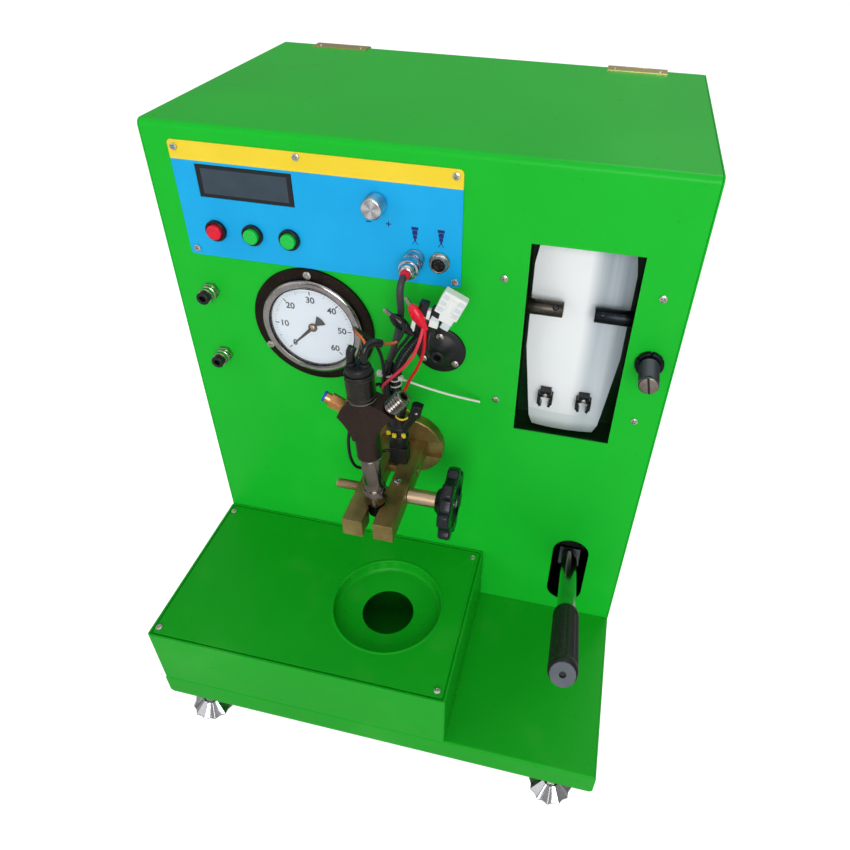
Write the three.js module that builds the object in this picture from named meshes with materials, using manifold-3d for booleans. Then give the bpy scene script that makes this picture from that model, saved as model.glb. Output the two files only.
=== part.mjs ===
import * as THREE from 'three';
import { mergeVertices } from 'three/addons/utils/BufferGeometryUtils.js';
import Module from 'manifold-3d';

// A bench tester for diesel injectors: a folded steel cabinet on a deep base, with a
// hand pump, a pressure gauge, a screw clamp that holds the injector, a spray window,
// an oil tray and a small driver panel with its harness.
// Millimetres. While the pieces are made, x runs right from the cabinet's left face,
// y runs back from its front panel and z runs up from the lower edge of the base.

const wasm = await Module();
wasm.setup();

// Gaps and overruns shared by all pieces
const fit = 0.3;
const overrun = 4;
const weldDistance = 0.001;

// Sides of round pieces, alike on each piece and in its hole
const smallSides = 12;
const stemSides = 8;
const discSides = 20;
const gaugeSides = 24;
const valveSides = 16;
const injectorSides = 18;
const hoodSides = 16;

// Cabinet and base
const cabinetWidth = 500;
const cabinetDepth = 321.5;
const cabinetHeight = 600.5;
const deckDepth = 203;
const deckHeight = 32.3;
const sheet = 1.5;
const cabinetBend = 6;
const deckBend = 3;
const baseFlange = 34;
const shellFoot = 12;
const shellRearFlange = 22;
const sideFlange = 20;
const frontFlange = 8;
const doorMargin = 8;
const hingeRadius = 4;
const hingePinRadius = 2;
const hingeLength = 66;
const hingeInset = 75;
const hingeLeaf = 16;
const hingeKnuckles = 3;
const knuckleGap = 0.5;
const leafThickness = 1.2;
const ventLength = 60;
const ventWidth = 4;
const ventPitch = 14;
const ventCount = 5;
const ventRise = 300;

// Places across the front, as shares of the cabinet's width
const acrossShares = {
  labelLeft: 0.0528, labelRight: 0.592,
  lcdLeft: 0.098, lcdRight: 0.282, knob: 0.4384,
  redButton: 0.117, greenButton: 0.191, testButton: 0.265,
  housingLeft: 0.088, housingRight: 0.472,
  driverSocket: 0.5056, spareSocket: 0.5526,
  gauge: 0.2928, hood: 0.5554, boss: 0.491,
};

function across(piece) {
  return cabinetWidth * acrossShares[piece];
}

// Levelling feet
const footHeight = 28;
const footRadius = 24;
const footTopRadius = 10.5;
const footRim = 2;
const footCone = 12;
const footFluteDepth = 2.2;
const footFlutes = 12;
const footStemRadius = 5;
const footStemRise = 12;
const footNutRadius = 8;
const footFromEdge = 12;
const footInset = 44;

// Oil tray on the base
const trayWidth = 335;
const trayTop = 115.4;
const trayWall = 2.5;
const trayLidGap = 1.5;
const trayLedge = 12;
const trayCorner = 3;
const lidThickness = 2;
const cupWall = 1.5;
const cupFromJaws = 2.3;
const cupFromFront = 100.5;
const cupRadius = 63;
const cupDepth = 15;
const cupFillet = 4;
const drainRadius = 29.5;
const lidScrewInset = 8.5;
const lidScrewHole = 2.3;

// Driver panel
const labelLeft = across('labelLeft');
const labelRight = across('labelRight');
const labelBelowTop = 14.5;
const labelTop = cabinetHeight - labelBelowTop;
const labelHeight = 110;
const labelBottom = labelTop - labelHeight;
const labelCorner = 4;
const labelThickness = 1;
const lcdLeft = across('lcdLeft');
const lcdRight = across('lcdRight');
const lcdBelowLabel = 20;
const lcdHeight = 30;
const lcdTop = labelTop - lcdBelowLabel;
const lcdBottom = lcdTop - lcdHeight;
const knobX = across('knob');
const knobBelowLabel = 36.3;
const knobZ = labelTop - knobBelowLabel;
const knobRadius = 9.7;
const knobLength = 16;
const knobGroove = 0.6;
const shaftRadius = 3;
const bushRadius = 5;
const bushProud = 1.4;
const shaftDepth = 14;
const knobFluteCount = 14;
const buttonRise = 28;
const buttonZ = labelBottom + buttonRise;
const redButtonX = across('redButton');
const greenButtonX = across('greenButton');
const testButtonX = across('testButton');
const buttonRadius = 7.3;
const buttonProud = 8.9;
const buttonRim = 1;
const buttonLength = 16.5;
const buttonTravel = 3;
const ringRadius = 10.2;
const ringThickness = 4;
const ringBarrelRadius = 9;
const ringBarrelLength = 24;
const ringFloor = 2;
const ringChamfer = 0.8;
const housingLeft = across('housingLeft');
const housingRight = across('housingRight');
const housingBelowLabel = 6;
const housingHeight = 61;
const housingTop = labelTop - housingBelowLabel;
const housingBottom = housingTop - housingHeight;
const housingFront = 18;
const housingDepth = 30;
const housingCorner = 3;
const lcdBorder = 2;
const socketRise = 24.5;
const socketZ = labelBottom + socketRise;
const spareSocketX = across('spareSocket');
const driverSocketX = across('driverSocket');
const socketNutRadius = 9.5;
const socketNutThickness = 2.6;
const socketRadius = 8;
const socketReach = 9.5;
const socketBore = 6.4;
const socketBoreDepth = 7;
const socketRear = 14;

// Pressure gauge
const gaugeX = across('gauge');
const gaugeBelowLabel = 63.7;
const gaugeZ = labelBottom - gaugeBelowLabel;
const gaugeFlangeRadius = 63.3;
const gaugeFlangeThickness = 3;
const gaugeCaseRadius = 49.5;
const gaugeCaseDepth = 40;
const gaugeNeckRadius = 9;
const gaugeNeckLength = 16;
const bezelOuterRadius = 53;
const bezelInnerRadius = 46.4;
const bezelRise = 5.2;
const bezelLip = 1.6;
const bezelLipThickness = 0.8;
const bezelRound = 3;
const dialThickness = 0.8;
const pointerThickness = 0.8;
const pointerReach = 36;
const pointerTail = 19;
const pointerWidth = 2.6;
const pointerSpade = 6;
const pointerHub = 3.2;
const pointerHubRise = 1.5;
const pointerShaft = 1.5;
const pointerShaftLength = 9;
const pointerRest = THREE.MathUtils.degToRad(225);
const glassThickness = 0.8;

// Hood, couplings and release valve on the front
const hoodX = across('hood');
const hoodBelowLabel = 70.8;
const hoodZ = labelBottom - hoodBelowLabel;
const hoodRadius = 25.4;
const hoodThickness = 2.6;
const hoodStemRadius = 5;
const hoodStemLength = 12;
const hoodReach = 17;
const hoodNoseRadius = 7.5;
const hoodBore = 3.4;
const hoodBoreDepth = 13;
const hoodChamfer = 0.8;
const hoodShoulderRadius = 20;
const hoodCurveSteps = 3;
const hoodCurveShare = 2.2;
const couplingX = 38.4;
const couplingBelowLabel = 39.4;
const couplingPitch = 76.8;
const upperCouplingZ = labelBottom - couplingBelowLabel;
const lowerCouplingZ = upperCouplingZ - couplingPitch;
const couplingNutRadius = 9;
const couplingNutThickness = 4;
const couplingRadius = 7.6;
const couplingReach = 14;
const couplingNoseRadius = 6.6;
const couplingNoseLength = 6.5;
const couplingStemRadius = 6;
const couplingBore = 3.2;
const couplingBoreDepth = 12;
const couplingRear = 18;
const valveFromSide = 23.8;
const valveX = cabinetWidth - valveFromSide;
const valveBelowTop = 176.1;
const valveZ = cabinetHeight - valveBelowTop;
const valveNutRadius = 13.4;
const valveNutThickness = 5;
const valveNotchWidth = 4;
const valveNotchDepth = 2.4;
const valveBodyRadius = 10;
const valveBodyDepth = 34;
const spindleRadius = 6.6;
const spindleHeadRadius = 9.4;
const spindleReach = 37.5;
const spindleDepth = 18;
const valveNotches = 6;
const spindleSlot = 1.8;
const spindleSlotDepth = 2;

// Spray window
const windowFromSide = 45.5;
const windowWidth = 97.8;
const windowBelowTop = 72.5;
const windowHeight = 209;
const windowRight = cabinetWidth - windowFromSide;
const windowLeft = windowRight - windowWidth;
const windowTop = cabinetHeight - windowBelowTop;
const windowBottom = windowTop - windowHeight;
const chamberMargin = 5.4;
const chamberDrop = 22;
const chamberWall = 2;
const chamberDepth = 60;
const chamberEarReach = 24;
const chamberPostRadius = 5;
const chamberEarHeight = 18;
const windowScrewRise = 35.4;
const platePlane = 30;
const plateThickness = 1.5;
const plateBow = 6;
const plateFromWindow = 48.6;
const plateX = windowLeft + plateFromWindow;
const plateLap = 1;
const plateTop = windowTop + plateLap;
const plateTopHalf = 41;
const plateShoulder = 37;
const plateWideHalf = 47;
const plateWaist = 129;
const plateFootFall = 215;
const plateFootHalf = 37;
const plateFall = 225;
const plateEndHalf = 32.5;
const clipLeftOfPlate = 21.3;
const clipRightOfPlate = 18.3;
const clipRise = 28;
const clipLeftX = plateX - clipLeftOfPlate;
const clipRightX = plateX + clipRightOfPlate;
const clipZ = windowBottom + clipRise;
const clipDepth = 8;
const clipRadius = 7.6;
const clipThickness = 1.6;
const clipLeg = 8;
const spoutY = 20;
const spoutFall = 72;
const spoutZ = windowTop - spoutFall;
const spoutRadius = 7.5;
const spoutLength = 37;
const spoutHole = 2;
const spoutHoleDepth = 3;
const spoutHoleInset = 7;
const spoutHolePitch = 19;

// Hand pump
const leverFromSide = 61;
const leverX = cabinetWidth - leverFromSide;
const leverSlotWidth = 42;
const leverSlotBottom = 52;
const leverSlotTop = 164;
const leverRest = THREE.MathUtils.degToRad(33);
const leverPanelZ = 125;
const pivotDepth = 76;
const pivotRadius = 5;
const leverRodRadius = 9.4;
const leverHubHalf = 12.5;
const leverHubWidth = 25;
const leverHubChamfer = 2;
const leverHubFront = 66;
const leverHubRear = 13;
const leverLength = 384;
const gripLength = 135;
const gripRadius = 12.5;
const gripRound = 3;
const leverCapRadius = 10.6;
const leverCapThickness = 2;
const leverCapHole = 2.6;
const rollerRadius = 7;
const rollerReach = 40;
const rollerDrop = 14.5;
const rollerWidth = 14;
const rollerGap = 0.7;
const cheekThickness = 8;
const cheekReach = 14;
const pumpPlateHalfWidth = 33;
const pumpPlateFront = 14;
const pumpPlateRear = 98;
const pumpPlateThickness = 10;
const pumpCorner = 4;
const pumpBarrelRadius = 17;
const pumpBarrelRise = 1;
const pumpBarrelDrop = 29;
const pumpFloor = 2;
const pistonDepth = 35;
const pistonRadius = 6;
const pistonCapRadius = 9;
const pistonCapThickness = 5;
const pistonLength = 39;
const tankLeft = 40;
const tankWidth = 170;
const tankFromRear = 41.5;
const tankDepth = 150;
const tankHeight = 120;
const tankCorner = 12;
const tankNeckRadius = 16;
const tankNeckHeight = 14;
const pipeRadius = 3;
const pipeRun = 30;

// Clamp
const bossX = across('boss');
const bossBelowHood = 124.6;
const bossZ = hoodZ - bossBelowHood;
const bossRadius = 38;
const bossThickness = 12;
const bossChamfer = 1;
const bossSlotDepth = 6;
const bossStudRadius = 8;
const bossStudLength = 20;
const bossNutRadius = 15;
const bossNutThickness = 8;
const jawHeight = 21;
const jawWidth = 20;
const jawGap = 10.3;
const jawFromBoss = 4.8;
const jawGapX = bossX - jawFromBoss;
const jawReach = 139;
const jawChamfer = 0.8;
const injectorSetback = 30.5;
const screwSetback = 55;
const guideSetback = 91;
const screwRadius = 5;
const guideRadius = 5;
const screwTail = 25;
const screwChamfer = 1;
const guideLength = 15;
const sleeveRadius = 8.2;
const sleeveLength = 29;
const notchAngle = THREE.MathUtils.degToRad(120);
const wheelRadius = 37;
const wheelLobeDepth = 5.5;
const wheelLobes = 7;
const wheelThickness = 12;
const wheelHubRadius = 11;
const wheelHubLength = 8;
const wheelDish = 3;
const wheelDishRadius = 22;
const wheelBevel = 1.6;
const wheelSeat = 13;

// Injector
const injectorLean = THREE.MathUtils.degToRad(2.9);
const neckRadius = 8.7;
const neckDrop = 15;
const neckRise = 0.6;
const nozzleRadius = 3.6;
const nozzleLength = 24;
const nozzleChamfer = 1;
const collarRadius = 11.2;
const collarBase = 3.5;
const collarTop = 20.5;
const nozzleNutLowRadius = 9.2;
const nozzleNutTopRadius = 9.8;
const nozzleNutTop = 59.7;
const bodyRadius = 11.9;
const bodyChamfer = 1.4;
const shoulderBase = 84;
const shoulderTop = 127.5;
const shoulderHalfThickness = 10.4;
const seatHalfWidth = 6;
const studSeatReach = 25.3;
const studSeatRise = 119;
const studRadius = 6.8;
const studLength = 20;
const studBore = 3.2;
const studBoreDepth = 6;
const studElevation = THREE.MathUtils.degToRad(49);
const fittingSeatReach = 19.5;
const fittingSeatRise = 115;
const fittingElevation = THREE.MathUtils.degToRad(29);
const fittingHex = 7;
const fittingHexLength = 12;
const fittingSleeveRadius = 5;
const fittingSleeveLength = 5;
const fittingBore = 2.1;
const fittingBoreDepth = 6;
const coilRadius = 13;
const coilTop = 154.5;
const coilGroove = 0.9;
const coilGrooveHeight = 2;
const coilChamfer = 1;
const capRadius = 11.4;
const capTop = 161;
const terminalRadius = 2.6;
const terminalTop = 173;
const terminalSpread = 5.5;

// Harness on the driver socket
const plugRingRadius = 9.6;
const plugRingLength = 17;
const plugRadius = 7.6;
const plugReach = 32;
const plugNoseRadius = 4.6;
const plugNoseLength = 6;
const plugInsertRadius = 6;
const plugCableRadius = 3.2;
const loomRadius = 5;
const leadRadius = 1.6;
const clipBodyLength = 24;
const clipBodyRadius = 5.2;
const clipTipRadius = 1.6;
const clipMouthRadius = 2.6;
const clipTipLength = 8;
const blackClipTip = [234, -49, 476];
const redClipTip = [258, -48, 486];
const connectorWidth = 22;
const connectorHeight = 24;
const connectorThickness = 9;
const connectorTurn = THREE.MathUtils.degToRad(52);
const injectorPlugX = 246;
const injectorPlugY = -45;
const injectorPlugWidth = 19;
const injectorPlugDepth = 16;
const injectorPlugHeight = 20;

const X = new THREE.Vector3(1, 0, 0);
const Y = new THREE.Vector3(0, 1, 0);
const Z = new THREE.Vector3(0, 0, 1);

const finishes = {
  green: { color: 0x23c83c, roughness: 0.35, metalness: 0.1 },
  deckGreen: { color: 0x149b19, roughness: 0.4, metalness: 0.1 },
  chamberGreen: { color: 0x062810, roughness: 0.5, metalness: 0.1 },
  label: { color: 0x00b9ff, roughness: 0.45, metalness: 0 },
  display: { color: 0x2c3f52, roughness: 0.1, metalness: 0 },
  blackPlastic: { color: 0x17181a, roughness: 0.45, metalness: 0 },
  redPlastic: { color: 0xe11e32, roughness: 0.4, metalness: 0 },
  greenPlastic: { color: 0x14d746, roughness: 0.4, metalness: 0 },
  whitePlastic: { color: 0xe9ecec, roughness: 0.5, metalness: 0 },
  chrome: { color: 0xd6d6d8, roughness: 0.12, metalness: 1 },
  nickel: { color: 0xb9b3a8, roughness: 0.25, metalness: 1 },
  steel: { color: 0x8d8f92, roughness: 0.35, metalness: 1 },
  blackSteel: { color: 0x34302e, roughness: 0.5, metalness: 0.7 },
  aluminium: { color: 0xc9ccd0, roughness: 0.35, metalness: 1 },
  brass: { color: 0x8a7444, roughness: 0.4, metalness: 0.9 },
  rubber: { color: 0x161815, roughness: 0.8, metalness: 0 },
  dial: { color: 0xd6e2f2, roughness: 0.5, metalness: 0 },
  glass: { color: 0xe8f0f4, roughness: 0.05, metalness: 0 },
};

// Solids from three.js geometries
function solid(geometry) {
  const bare = geometry.clone();
  bare.deleteAttribute('normal');
  bare.deleteAttribute('uv');
  const merged = mergeVertices(bare, weldDistance);
  const { array } = merged.attributes.position;
  const corners = merged.index.array;
  const kept = [];
  let volume = 0;
  const a = new THREE.Vector3();
  const b = new THREE.Vector3();
  const c = new THREE.Vector3();
  for (let i = 0; i < corners.length; i += 3) {
    const [p, q, r] = [corners[i], corners[i + 1], corners[i + 2]];
    if (p === q || q === r || r === p) continue;
    kept.push(p, q, r);
    a.fromArray(array, 3 * p);
    b.fromArray(array, 3 * q);
    c.fromArray(array, 3 * r);
    volume += a.dot(b.cross(c));
  }
  if (volume < 0) kept.reverse();
  return new wasm.Manifold(new wasm.Mesh({
    numProp: 3,
    vertProperties: Float32Array.from(array),
    triVerts: Uint32Array.from(kept),
  }));
}

function joined(...solids) {
  return solids.reduce((whole, next) => whole.add(next));
}

function mesh(name, shape, finish) {
  const { vertProperties, triVerts } = shape.getMesh();
  const geometry = new THREE.BufferGeometry();
  geometry.setAttribute('position', new THREE.BufferAttribute(vertProperties, 3));
  geometry.setIndex(new THREE.BufferAttribute(triVerts, 1));
  geometry.computeVertexNormals();
  const piece = new THREE.Mesh(geometry, new THREE.MeshStandardMaterial(finishes[finish]));
  piece.name = name;
  return piece;
}

// A rectangle with its corners cut
function cutRectangle(a0, b0, a1, b1, cut) {
  return outline([
    [a0 + cut, b0], [a1 - cut, b0], [a1, b0 + cut], [a1, b1 - cut],
    [a1 - cut, b1], [a0 + cut, b1], [a0, b1 - cut], [a0, b0 + cut],
  ]);
}

// Directions: a section drawn in two axes and run along the third
const sectionYZ = new THREE.Matrix4().makeBasis(Y, Z, X);
const sectionXZ = new THREE.Matrix4().makeBasis(X, Z, Y.clone().negate());
const turnedOut = new THREE.Matrix4().makeBasis(X, Y.clone().negate(), Z.clone().negate());
const turnedRight = new THREE.Matrix4().makeBasis(Z, X, Y);

function extruded(shape, depth, steps = 12) {
  return new THREE.ExtrudeGeometry(shape, { depth, bevelEnabled: false, curveSegments: steps });
}

function runX(shape, x0, x1, steps) {
  return solid(extruded(shape, x1 - x0, steps).applyMatrix4(sectionYZ).translate(x0, 0, 0));
}

function runY(shape, y0, y1, steps) {
  return solid(extruded(shape, y1 - y0, steps).applyMatrix4(sectionXZ).translate(0, y1, 0));
}

function runZ(shape, z0, z1, steps) {
  return solid(extruded(shape, z1 - z0, steps).translate(0, 0, z0));
}

function block(x0, x1, y0, y1, z0, z1) {
  const box = new THREE.BoxGeometry(x1 - x0, y1 - y0, z1 - z0);
  return solid(box.translate((x0 + x1) / 2, (y0 + y1) / 2, (z0 + z1) / 2));
}

function profile(points) {
  return points.map(([radius, height]) => new THREE.Vector2(radius, height));
}

function lathe(points, sides) {
  return new THREE.LatheGeometry(profile([...points, points[0]]), sides);
}

// Turned about an axis that points out of the front panel, up, or to the right
function turnOut(points, x, z, sides = 16) {
  return solid(lathe(points, sides).applyMatrix4(turnedOut).translate(x, 0, z));
}

function turnUp(points, x, y, sides = 16) {
  return solid(lathe(points, sides).applyMatrix4(sectionXZ).translate(x, y, 0));
}

function turnRight(points, y, z, sides = 16) {
  return solid(lathe(points, sides).applyMatrix4(turnedRight).translate(0, y, z));
}

function rodOut(radius, x, z, y0, y1, sides = 12) {
  return turnOut([[0, -y1], [radius, -y1], [radius, -y0], [0, -y0]], x, z, sides);
}

function rodUp(radius, x, y, z0, z1, sides = 12) {
  return turnUp([[0, z0], [radius, z0], [radius, z1], [0, z1]], x, y, sides);
}

function rodRight(radius, y, z, x0, x1, sides = 12) {
  return turnRight([[0, x0], [radius, x0], [radius, x1], [0, x1]], y, z, sides);
}

// Outlines
function outline(points) {
  return new THREE.Shape(points.map(([a, b]) => new THREE.Vector2(a, b)));
}

function rectangle(a0, b0, a1, b1) {
  return outline([[a0, b0], [a1, b0], [a1, b1], [a0, b1]]);
}

function rounded(a0, b0, a1, b1, radius) {
  const shape = new THREE.Shape();
  shape.absarc(a1 - radius, b1 - radius, radius, 0, Math.PI / 2);
  shape.absarc(a0 + radius, b1 - radius, radius, Math.PI / 2, Math.PI);
  shape.absarc(a0 + radius, b0 + radius, radius, Math.PI, 1.5 * Math.PI);
  shape.absarc(a1 - radius, b0 + radius, radius, 1.5 * Math.PI, 2 * Math.PI);
  return shape;
}

function polygon(sides, radius, a = 0, b = 0, turn = 0) {
  const points = [];
  for (let i = 0; i < sides; i += 1) {
    const angle = turn + (2 * Math.PI * i) / sides;
    points.push([a + radius * Math.cos(angle), b + radius * Math.sin(angle)]);
  }
  return outline(points);
}

// An outline whose radius swings between two values, as on a knurl or a lobed wheel
function lobed(count, outer, depth, perLobe, flat = 1) {
  const points = [];
  for (let i = 0; i < count * perLobe; i += 1) {
    const angle = (2 * Math.PI * i) / (count * perLobe);
    const swing = (1 + Math.cos(count * angle)) / 2;
    const radius = outer - depth * (1 - swing ** flat);
    points.push([radius * Math.cos(angle), radius * Math.sin(angle)]);
  }
  return points;
}

function scaled(points, share) {
  return points.map(([a, b]) => [a * share, b * share]);
}

// Places for an outline's ring: out of the panel, up, or to the right
const outward = (a, b, h) => [a, -h, b];
const upward = (x, y) => (a, b, h) => [x + a, y + b, h];
const rightward = (y, z) => (a, b, h) => [h, y + a, z + b];

function ring(points, place, height) {
  return points.map(([a, b]) => ({ flat: [a, b], at: place(a, b, height) }));
}

// A closed body through rings of equal point counts
function loft(rings) {
  const count = rings[0].length;
  const positions = rings.flat().flatMap(({ at }) => at);
  const index = [];
  for (let r = 0; r + 1 < rings.length; r += 1) {
    for (let i = 0; i < count; i += 1) {
      const j = (i + 1) % count;
      const [a, b] = [r * count + i, r * count + j];
      const [c, d] = [a + count, b + count];
      index.push(a, b, d, a, d, c);
    }
  }
  const face = rings[0].map(({ flat }) => new THREE.Vector2(...flat));
  const last = (rings.length - 1) * count;
  THREE.ShapeUtils.triangulateShape(face, []).forEach(([a, b, c]) => {
    index.push(c, b, a, last + a, last + b, last + c);
  });
  const geometry = new THREE.BufferGeometry();
  geometry.setAttribute('position', new THREE.Float32BufferAttribute(positions, 3));
  geometry.setIndex(index);
  return solid(geometry);
}

// Base, cabinet and door
const shellInset = sheet + fit;
const cabinetRear = cabinetDepth;
const cabinetFoot = deckHeight + fit;
const hingeAxisY = cabinetDepth + hingeRadius + fit;
const hingeAxisZ = cabinetHeight + leafThickness - hingeRadius;
const hingePlaces = [hingeInset, cabinetWidth - hingeInset];
const knuckleLength = (hingeLength - 2 * knuckleGap) / hingeKnuckles;

const bendShare = 0.29;
const footNames = ['front_left', 'front_right', 'rear_left', 'rear_right'];
const footRearY = cabinetRear - footFromEdge - footTopRadius;
const footPlaces = [
  [footInset, -deckDepth + footFromEdge],
  [cabinetWidth - footInset, -deckDepth + footFromEdge],
  [footInset, footRearY],
  [cabinetWidth - footInset, footRearY],
];

// The pan's outer form, or with an inset its hollow: long edges broken or rounded
function panForm(inset) {
  const top = deckHeight - inset;
  const front = inset - deckDepth;
  const rear = cabinetRear - inset;
  const right = cabinetWidth - inset;
  const edge = deckBend * bendShare;
  const side = outline([
    [front, inset], [rear, inset], [rear, deckHeight - deckBend], [cabinetRear - deckBend, top],
    [-deckDepth + deckBend, top], [front + edge, top - edge], [front, deckHeight - deckBend],
  ]);
  const across = outline([
    [inset, deckBend], [deckBend, inset], [cabinetWidth - deckBend, inset], [right, deckBend],
    [right, deckHeight - deckBend], [cabinetWidth - deckBend, top], [deckBend, top],
    [inset, deckHeight - deckBend],
  ]);
  return runX(side, inset, right).intersect(runY(across, front, rear));
}

function basePan() {
  const mouth = block(sheet, cabinetWidth - sheet, -deckDepth + baseFlange, cabinetRear - baseFlange,
    -overrun, sheet + overrun);
  const barrelHole = rodUp(pumpBarrelRadius + fit, leverX, pistonDepth, 0, deckHeight + overrun);
  let pan = panForm(0).subtract(panForm(sheet)).subtract(mouth).subtract(barrelHole);
  for (const [x, y] of footPlaces) {
    pan = pan.subtract(rodUp(footStemRadius + fit, x, y, -overrun, sheet + overrun, stemSides));
  }
  return mesh('base_pan', pan, 'deckGreen');
}

// Cabinet: one folded sheet makes the front and the top, with a panel on each side
function shellSection() {
  const bendZ = cabinetHeight - cabinetBend;
  const section = new THREE.Shape();
  section.moveTo(shellFoot, cabinetFoot);
  section.lineTo(shellFoot, cabinetFoot + sheet);
  section.lineTo(sheet, cabinetFoot + sheet);
  section.lineTo(sheet, bendZ);
  section.absarc(cabinetBend, bendZ, cabinetBend - sheet, Math.PI, Math.PI / 2, true);
  section.lineTo(cabinetRear - sheet, cabinetHeight - sheet);
  section.lineTo(cabinetRear - sheet, cabinetHeight - shellRearFlange);
  section.lineTo(cabinetRear, cabinetHeight - shellRearFlange);
  section.lineTo(cabinetRear, cabinetHeight);
  section.lineTo(cabinetBend, cabinetHeight);
  section.absarc(cabinetBend, bendZ, cabinetBend, Math.PI / 2, Math.PI, false);
  section.lineTo(0, cabinetFoot);
  return section;
}

function throughPanel(radius, x, z, sides = smallSides) {
  return rodOut(radius, x, z, -overrun, overrun, sides);
}

// Holes shared by the label plate and the sheet behind it
function labelHoles() {
  return [
    throughPanel(bushRadius + fit, knobX, knobZ),
    ...buttonPlaces.map((x) => throughPanel(ringBarrelRadius + fit, x, buttonZ)),
    ...socketPlaces.map((x) => throughPanel(socketRadius + fit, x, socketZ)),
  ];
}

function frontHoles() {
  const slot = rounded(leverX - leverSlotWidth / 2, leverSlotBottom, leverX + leverSlotWidth / 2,
    leverSlotTop, leverSlotWidth / 2);
  return [
    throughPanel(gaugeCaseRadius + fit, gaugeX, gaugeZ, gaugeSides),
    throughPanel(bossStudRadius + fit, bossX, bossZ, discSides),
    throughPanel(valveBodyRadius + fit, valveX, valveZ, valveSides),
    throughPanel(couplingStemRadius + fit, couplingX, upperCouplingZ),
    throughPanel(couplingStemRadius + fit, couplingX, lowerCouplingZ),
    throughPanel(hoodStemRadius + fit, hoodX, hoodZ, hoodSides),
    runY(slot, -overrun, overrun, 5),
    runY(rectangle(windowLeft, windowBottom, windowRight, windowTop), -overrun, overrun),
    runY(rectangle(lcdLeft + lcdBorder, lcdBottom + lcdBorder, lcdRight - lcdBorder,
      lcdTop - lcdBorder), -overrun, overrun),
  ];
}

// The radius of a many-sided hollow whose flats clear a round piece as it turns
function roomToTurn(radius, sides) {
  return (radius + fit) / Math.cos(Math.PI / sides);
}

function knuckle(x0, x1) {
  return rodRight(hingeRadius, hingeAxisY, hingeAxisZ, x0, x1, stemSides);
}

// The leaf that stays on the cabinet, its two outer knuckles and the pin
function fixedHinge(x) {
  const end = x + hingeLength / 2;
  const start = x - hingeLength / 2;
  const leaf = block(start, end, cabinetRear - hingeLeaf, hingeAxisY, cabinetHeight - leafThickness / 2,
    cabinetHeight + leafThickness);
  const relief = rodRight(roomToTurn(hingeRadius, stemSides), hingeAxisY, hingeAxisZ,
    start + knuckleLength, end - knuckleLength, stemSides);
  const pin = rodRight(hingePinRadius, hingeAxisY, hingeAxisZ, start, end, stemSides);
  return joined(leaf.subtract(relief), knuckle(start, start + knuckleLength),
    knuckle(end - knuckleLength, end), pin);
}

function frontShell() {
  let shell = runX(shellSection(), shellInset, cabinetWidth - shellInset, 4);
  for (const hole of [...labelHoles(), ...frontHoles()]) shell = shell.subtract(hole);
  for (const x of hingePlaces) shell = shell.add(fixedHinge(x));
  return mesh('front_shell', shell, 'green');
}

function sidePanel(name, mirrored) {
  const bendZ = cabinetHeight - cabinetBend;
  const side = new THREE.Shape();
  side.moveTo(0, cabinetFoot);
  side.lineTo(cabinetRear, cabinetFoot);
  side.lineTo(cabinetRear, cabinetHeight);
  side.lineTo(cabinetBend, cabinetHeight);
  side.absarc(cabinetBend, bendZ, cabinetBend, Math.PI / 2, Math.PI, false);
  const rear = block(0, sideFlange, cabinetRear - sheet, cabinetRear, cabinetFoot,
    cabinetHeight - shellRearFlange - fit);
  const foot = block(0, shellFoot, shellFoot + fit, cabinetRear, cabinetFoot, cabinetFoot + sheet);
  const front = block(0, frontFlange, shellInset, shellInset + sheet, cabinetFoot + sheet + fit,
    cabinetHeight - cabinetBend - sheet);
  let panel = joined(runX(side, 0, sheet, 4), rear, foot, front);
  if (mirrored) panel = panel.mirror([1, 0, 0]).translate([cabinetWidth, 0, 0]);
  return mesh(name, panel, 'green');
}

// The door hangs from its top edge and carries the middle knuckle of each hinge
function rearDoor() {
  const inner = cabinetRear + fit;
  const outer = inner + sheet;
  const top = hingeAxisZ - hingeRadius - fit;
  const reachX = cabinetWidth - doorMargin;
  const section = rounded(doorMargin, cabinetFoot + doorMargin, reachX, top, cabinetBend);
  let door = runY(section, inner, outer, 3);
  for (let i = 0; i < ventCount; i += 1) {
    const z = ventRise + i * ventPitch;
    const vent = rounded(cabinetWidth / 2 - ventLength, z, cabinetWidth / 2 + ventLength, z + ventWidth,
      ventWidth / 2);
    door = door.subtract(runY(vent, inner - overrun, outer + overrun, 1));
  }
  for (const x of hingePlaces) {
    const start = x - hingeLength / 2 + knuckleLength + knuckleGap;
    const end = start + knuckleLength;
    const leaf = block(start, end, outer - sheet / 2, outer + leafThickness, top - hingeLeaf,
      hingeAxisZ);
    const barrel = knuckle(start, end);
    const bore = rodRight(hingePinRadius + fit, hingeAxisY, hingeAxisZ, start - overrun,
      end + overrun, stemSides);
    door = joined(door, leaf, barrel).subtract(bore);
  }
  return mesh('rear_door', door, 'green');
}

// Fluted cone feet with a clamping nut and a stem into the base
function foot(name, [x, y]) {
  const flutes = lobed(footFlutes, footRadius, footFluteDepth, 2);
  const top = scaled(flutes, footTopRadius / footRadius);
  const rim = ring(flutes, upward(0, 0), -footHeight);
  const edge = ring(flutes, upward(0, 0), footRim - footHeight);
  const crown = ring(top, upward(0, 0), footRim + footCone - footHeight);
  const nutBase = footRim + footCone - footHeight;
  const nut = runZ(polygon(6, footNutRadius), nutBase - overrun, -fit);
  const stem = rodUp(footStemRadius, 0, 0, -overrun, footStemRise, stemSides);
  const piece = mesh(name, joined(loft([rim, edge, crown]), nut, stem), 'chrome');
  piece.position.set(x, y, 0);
  return piece;
}

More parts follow.
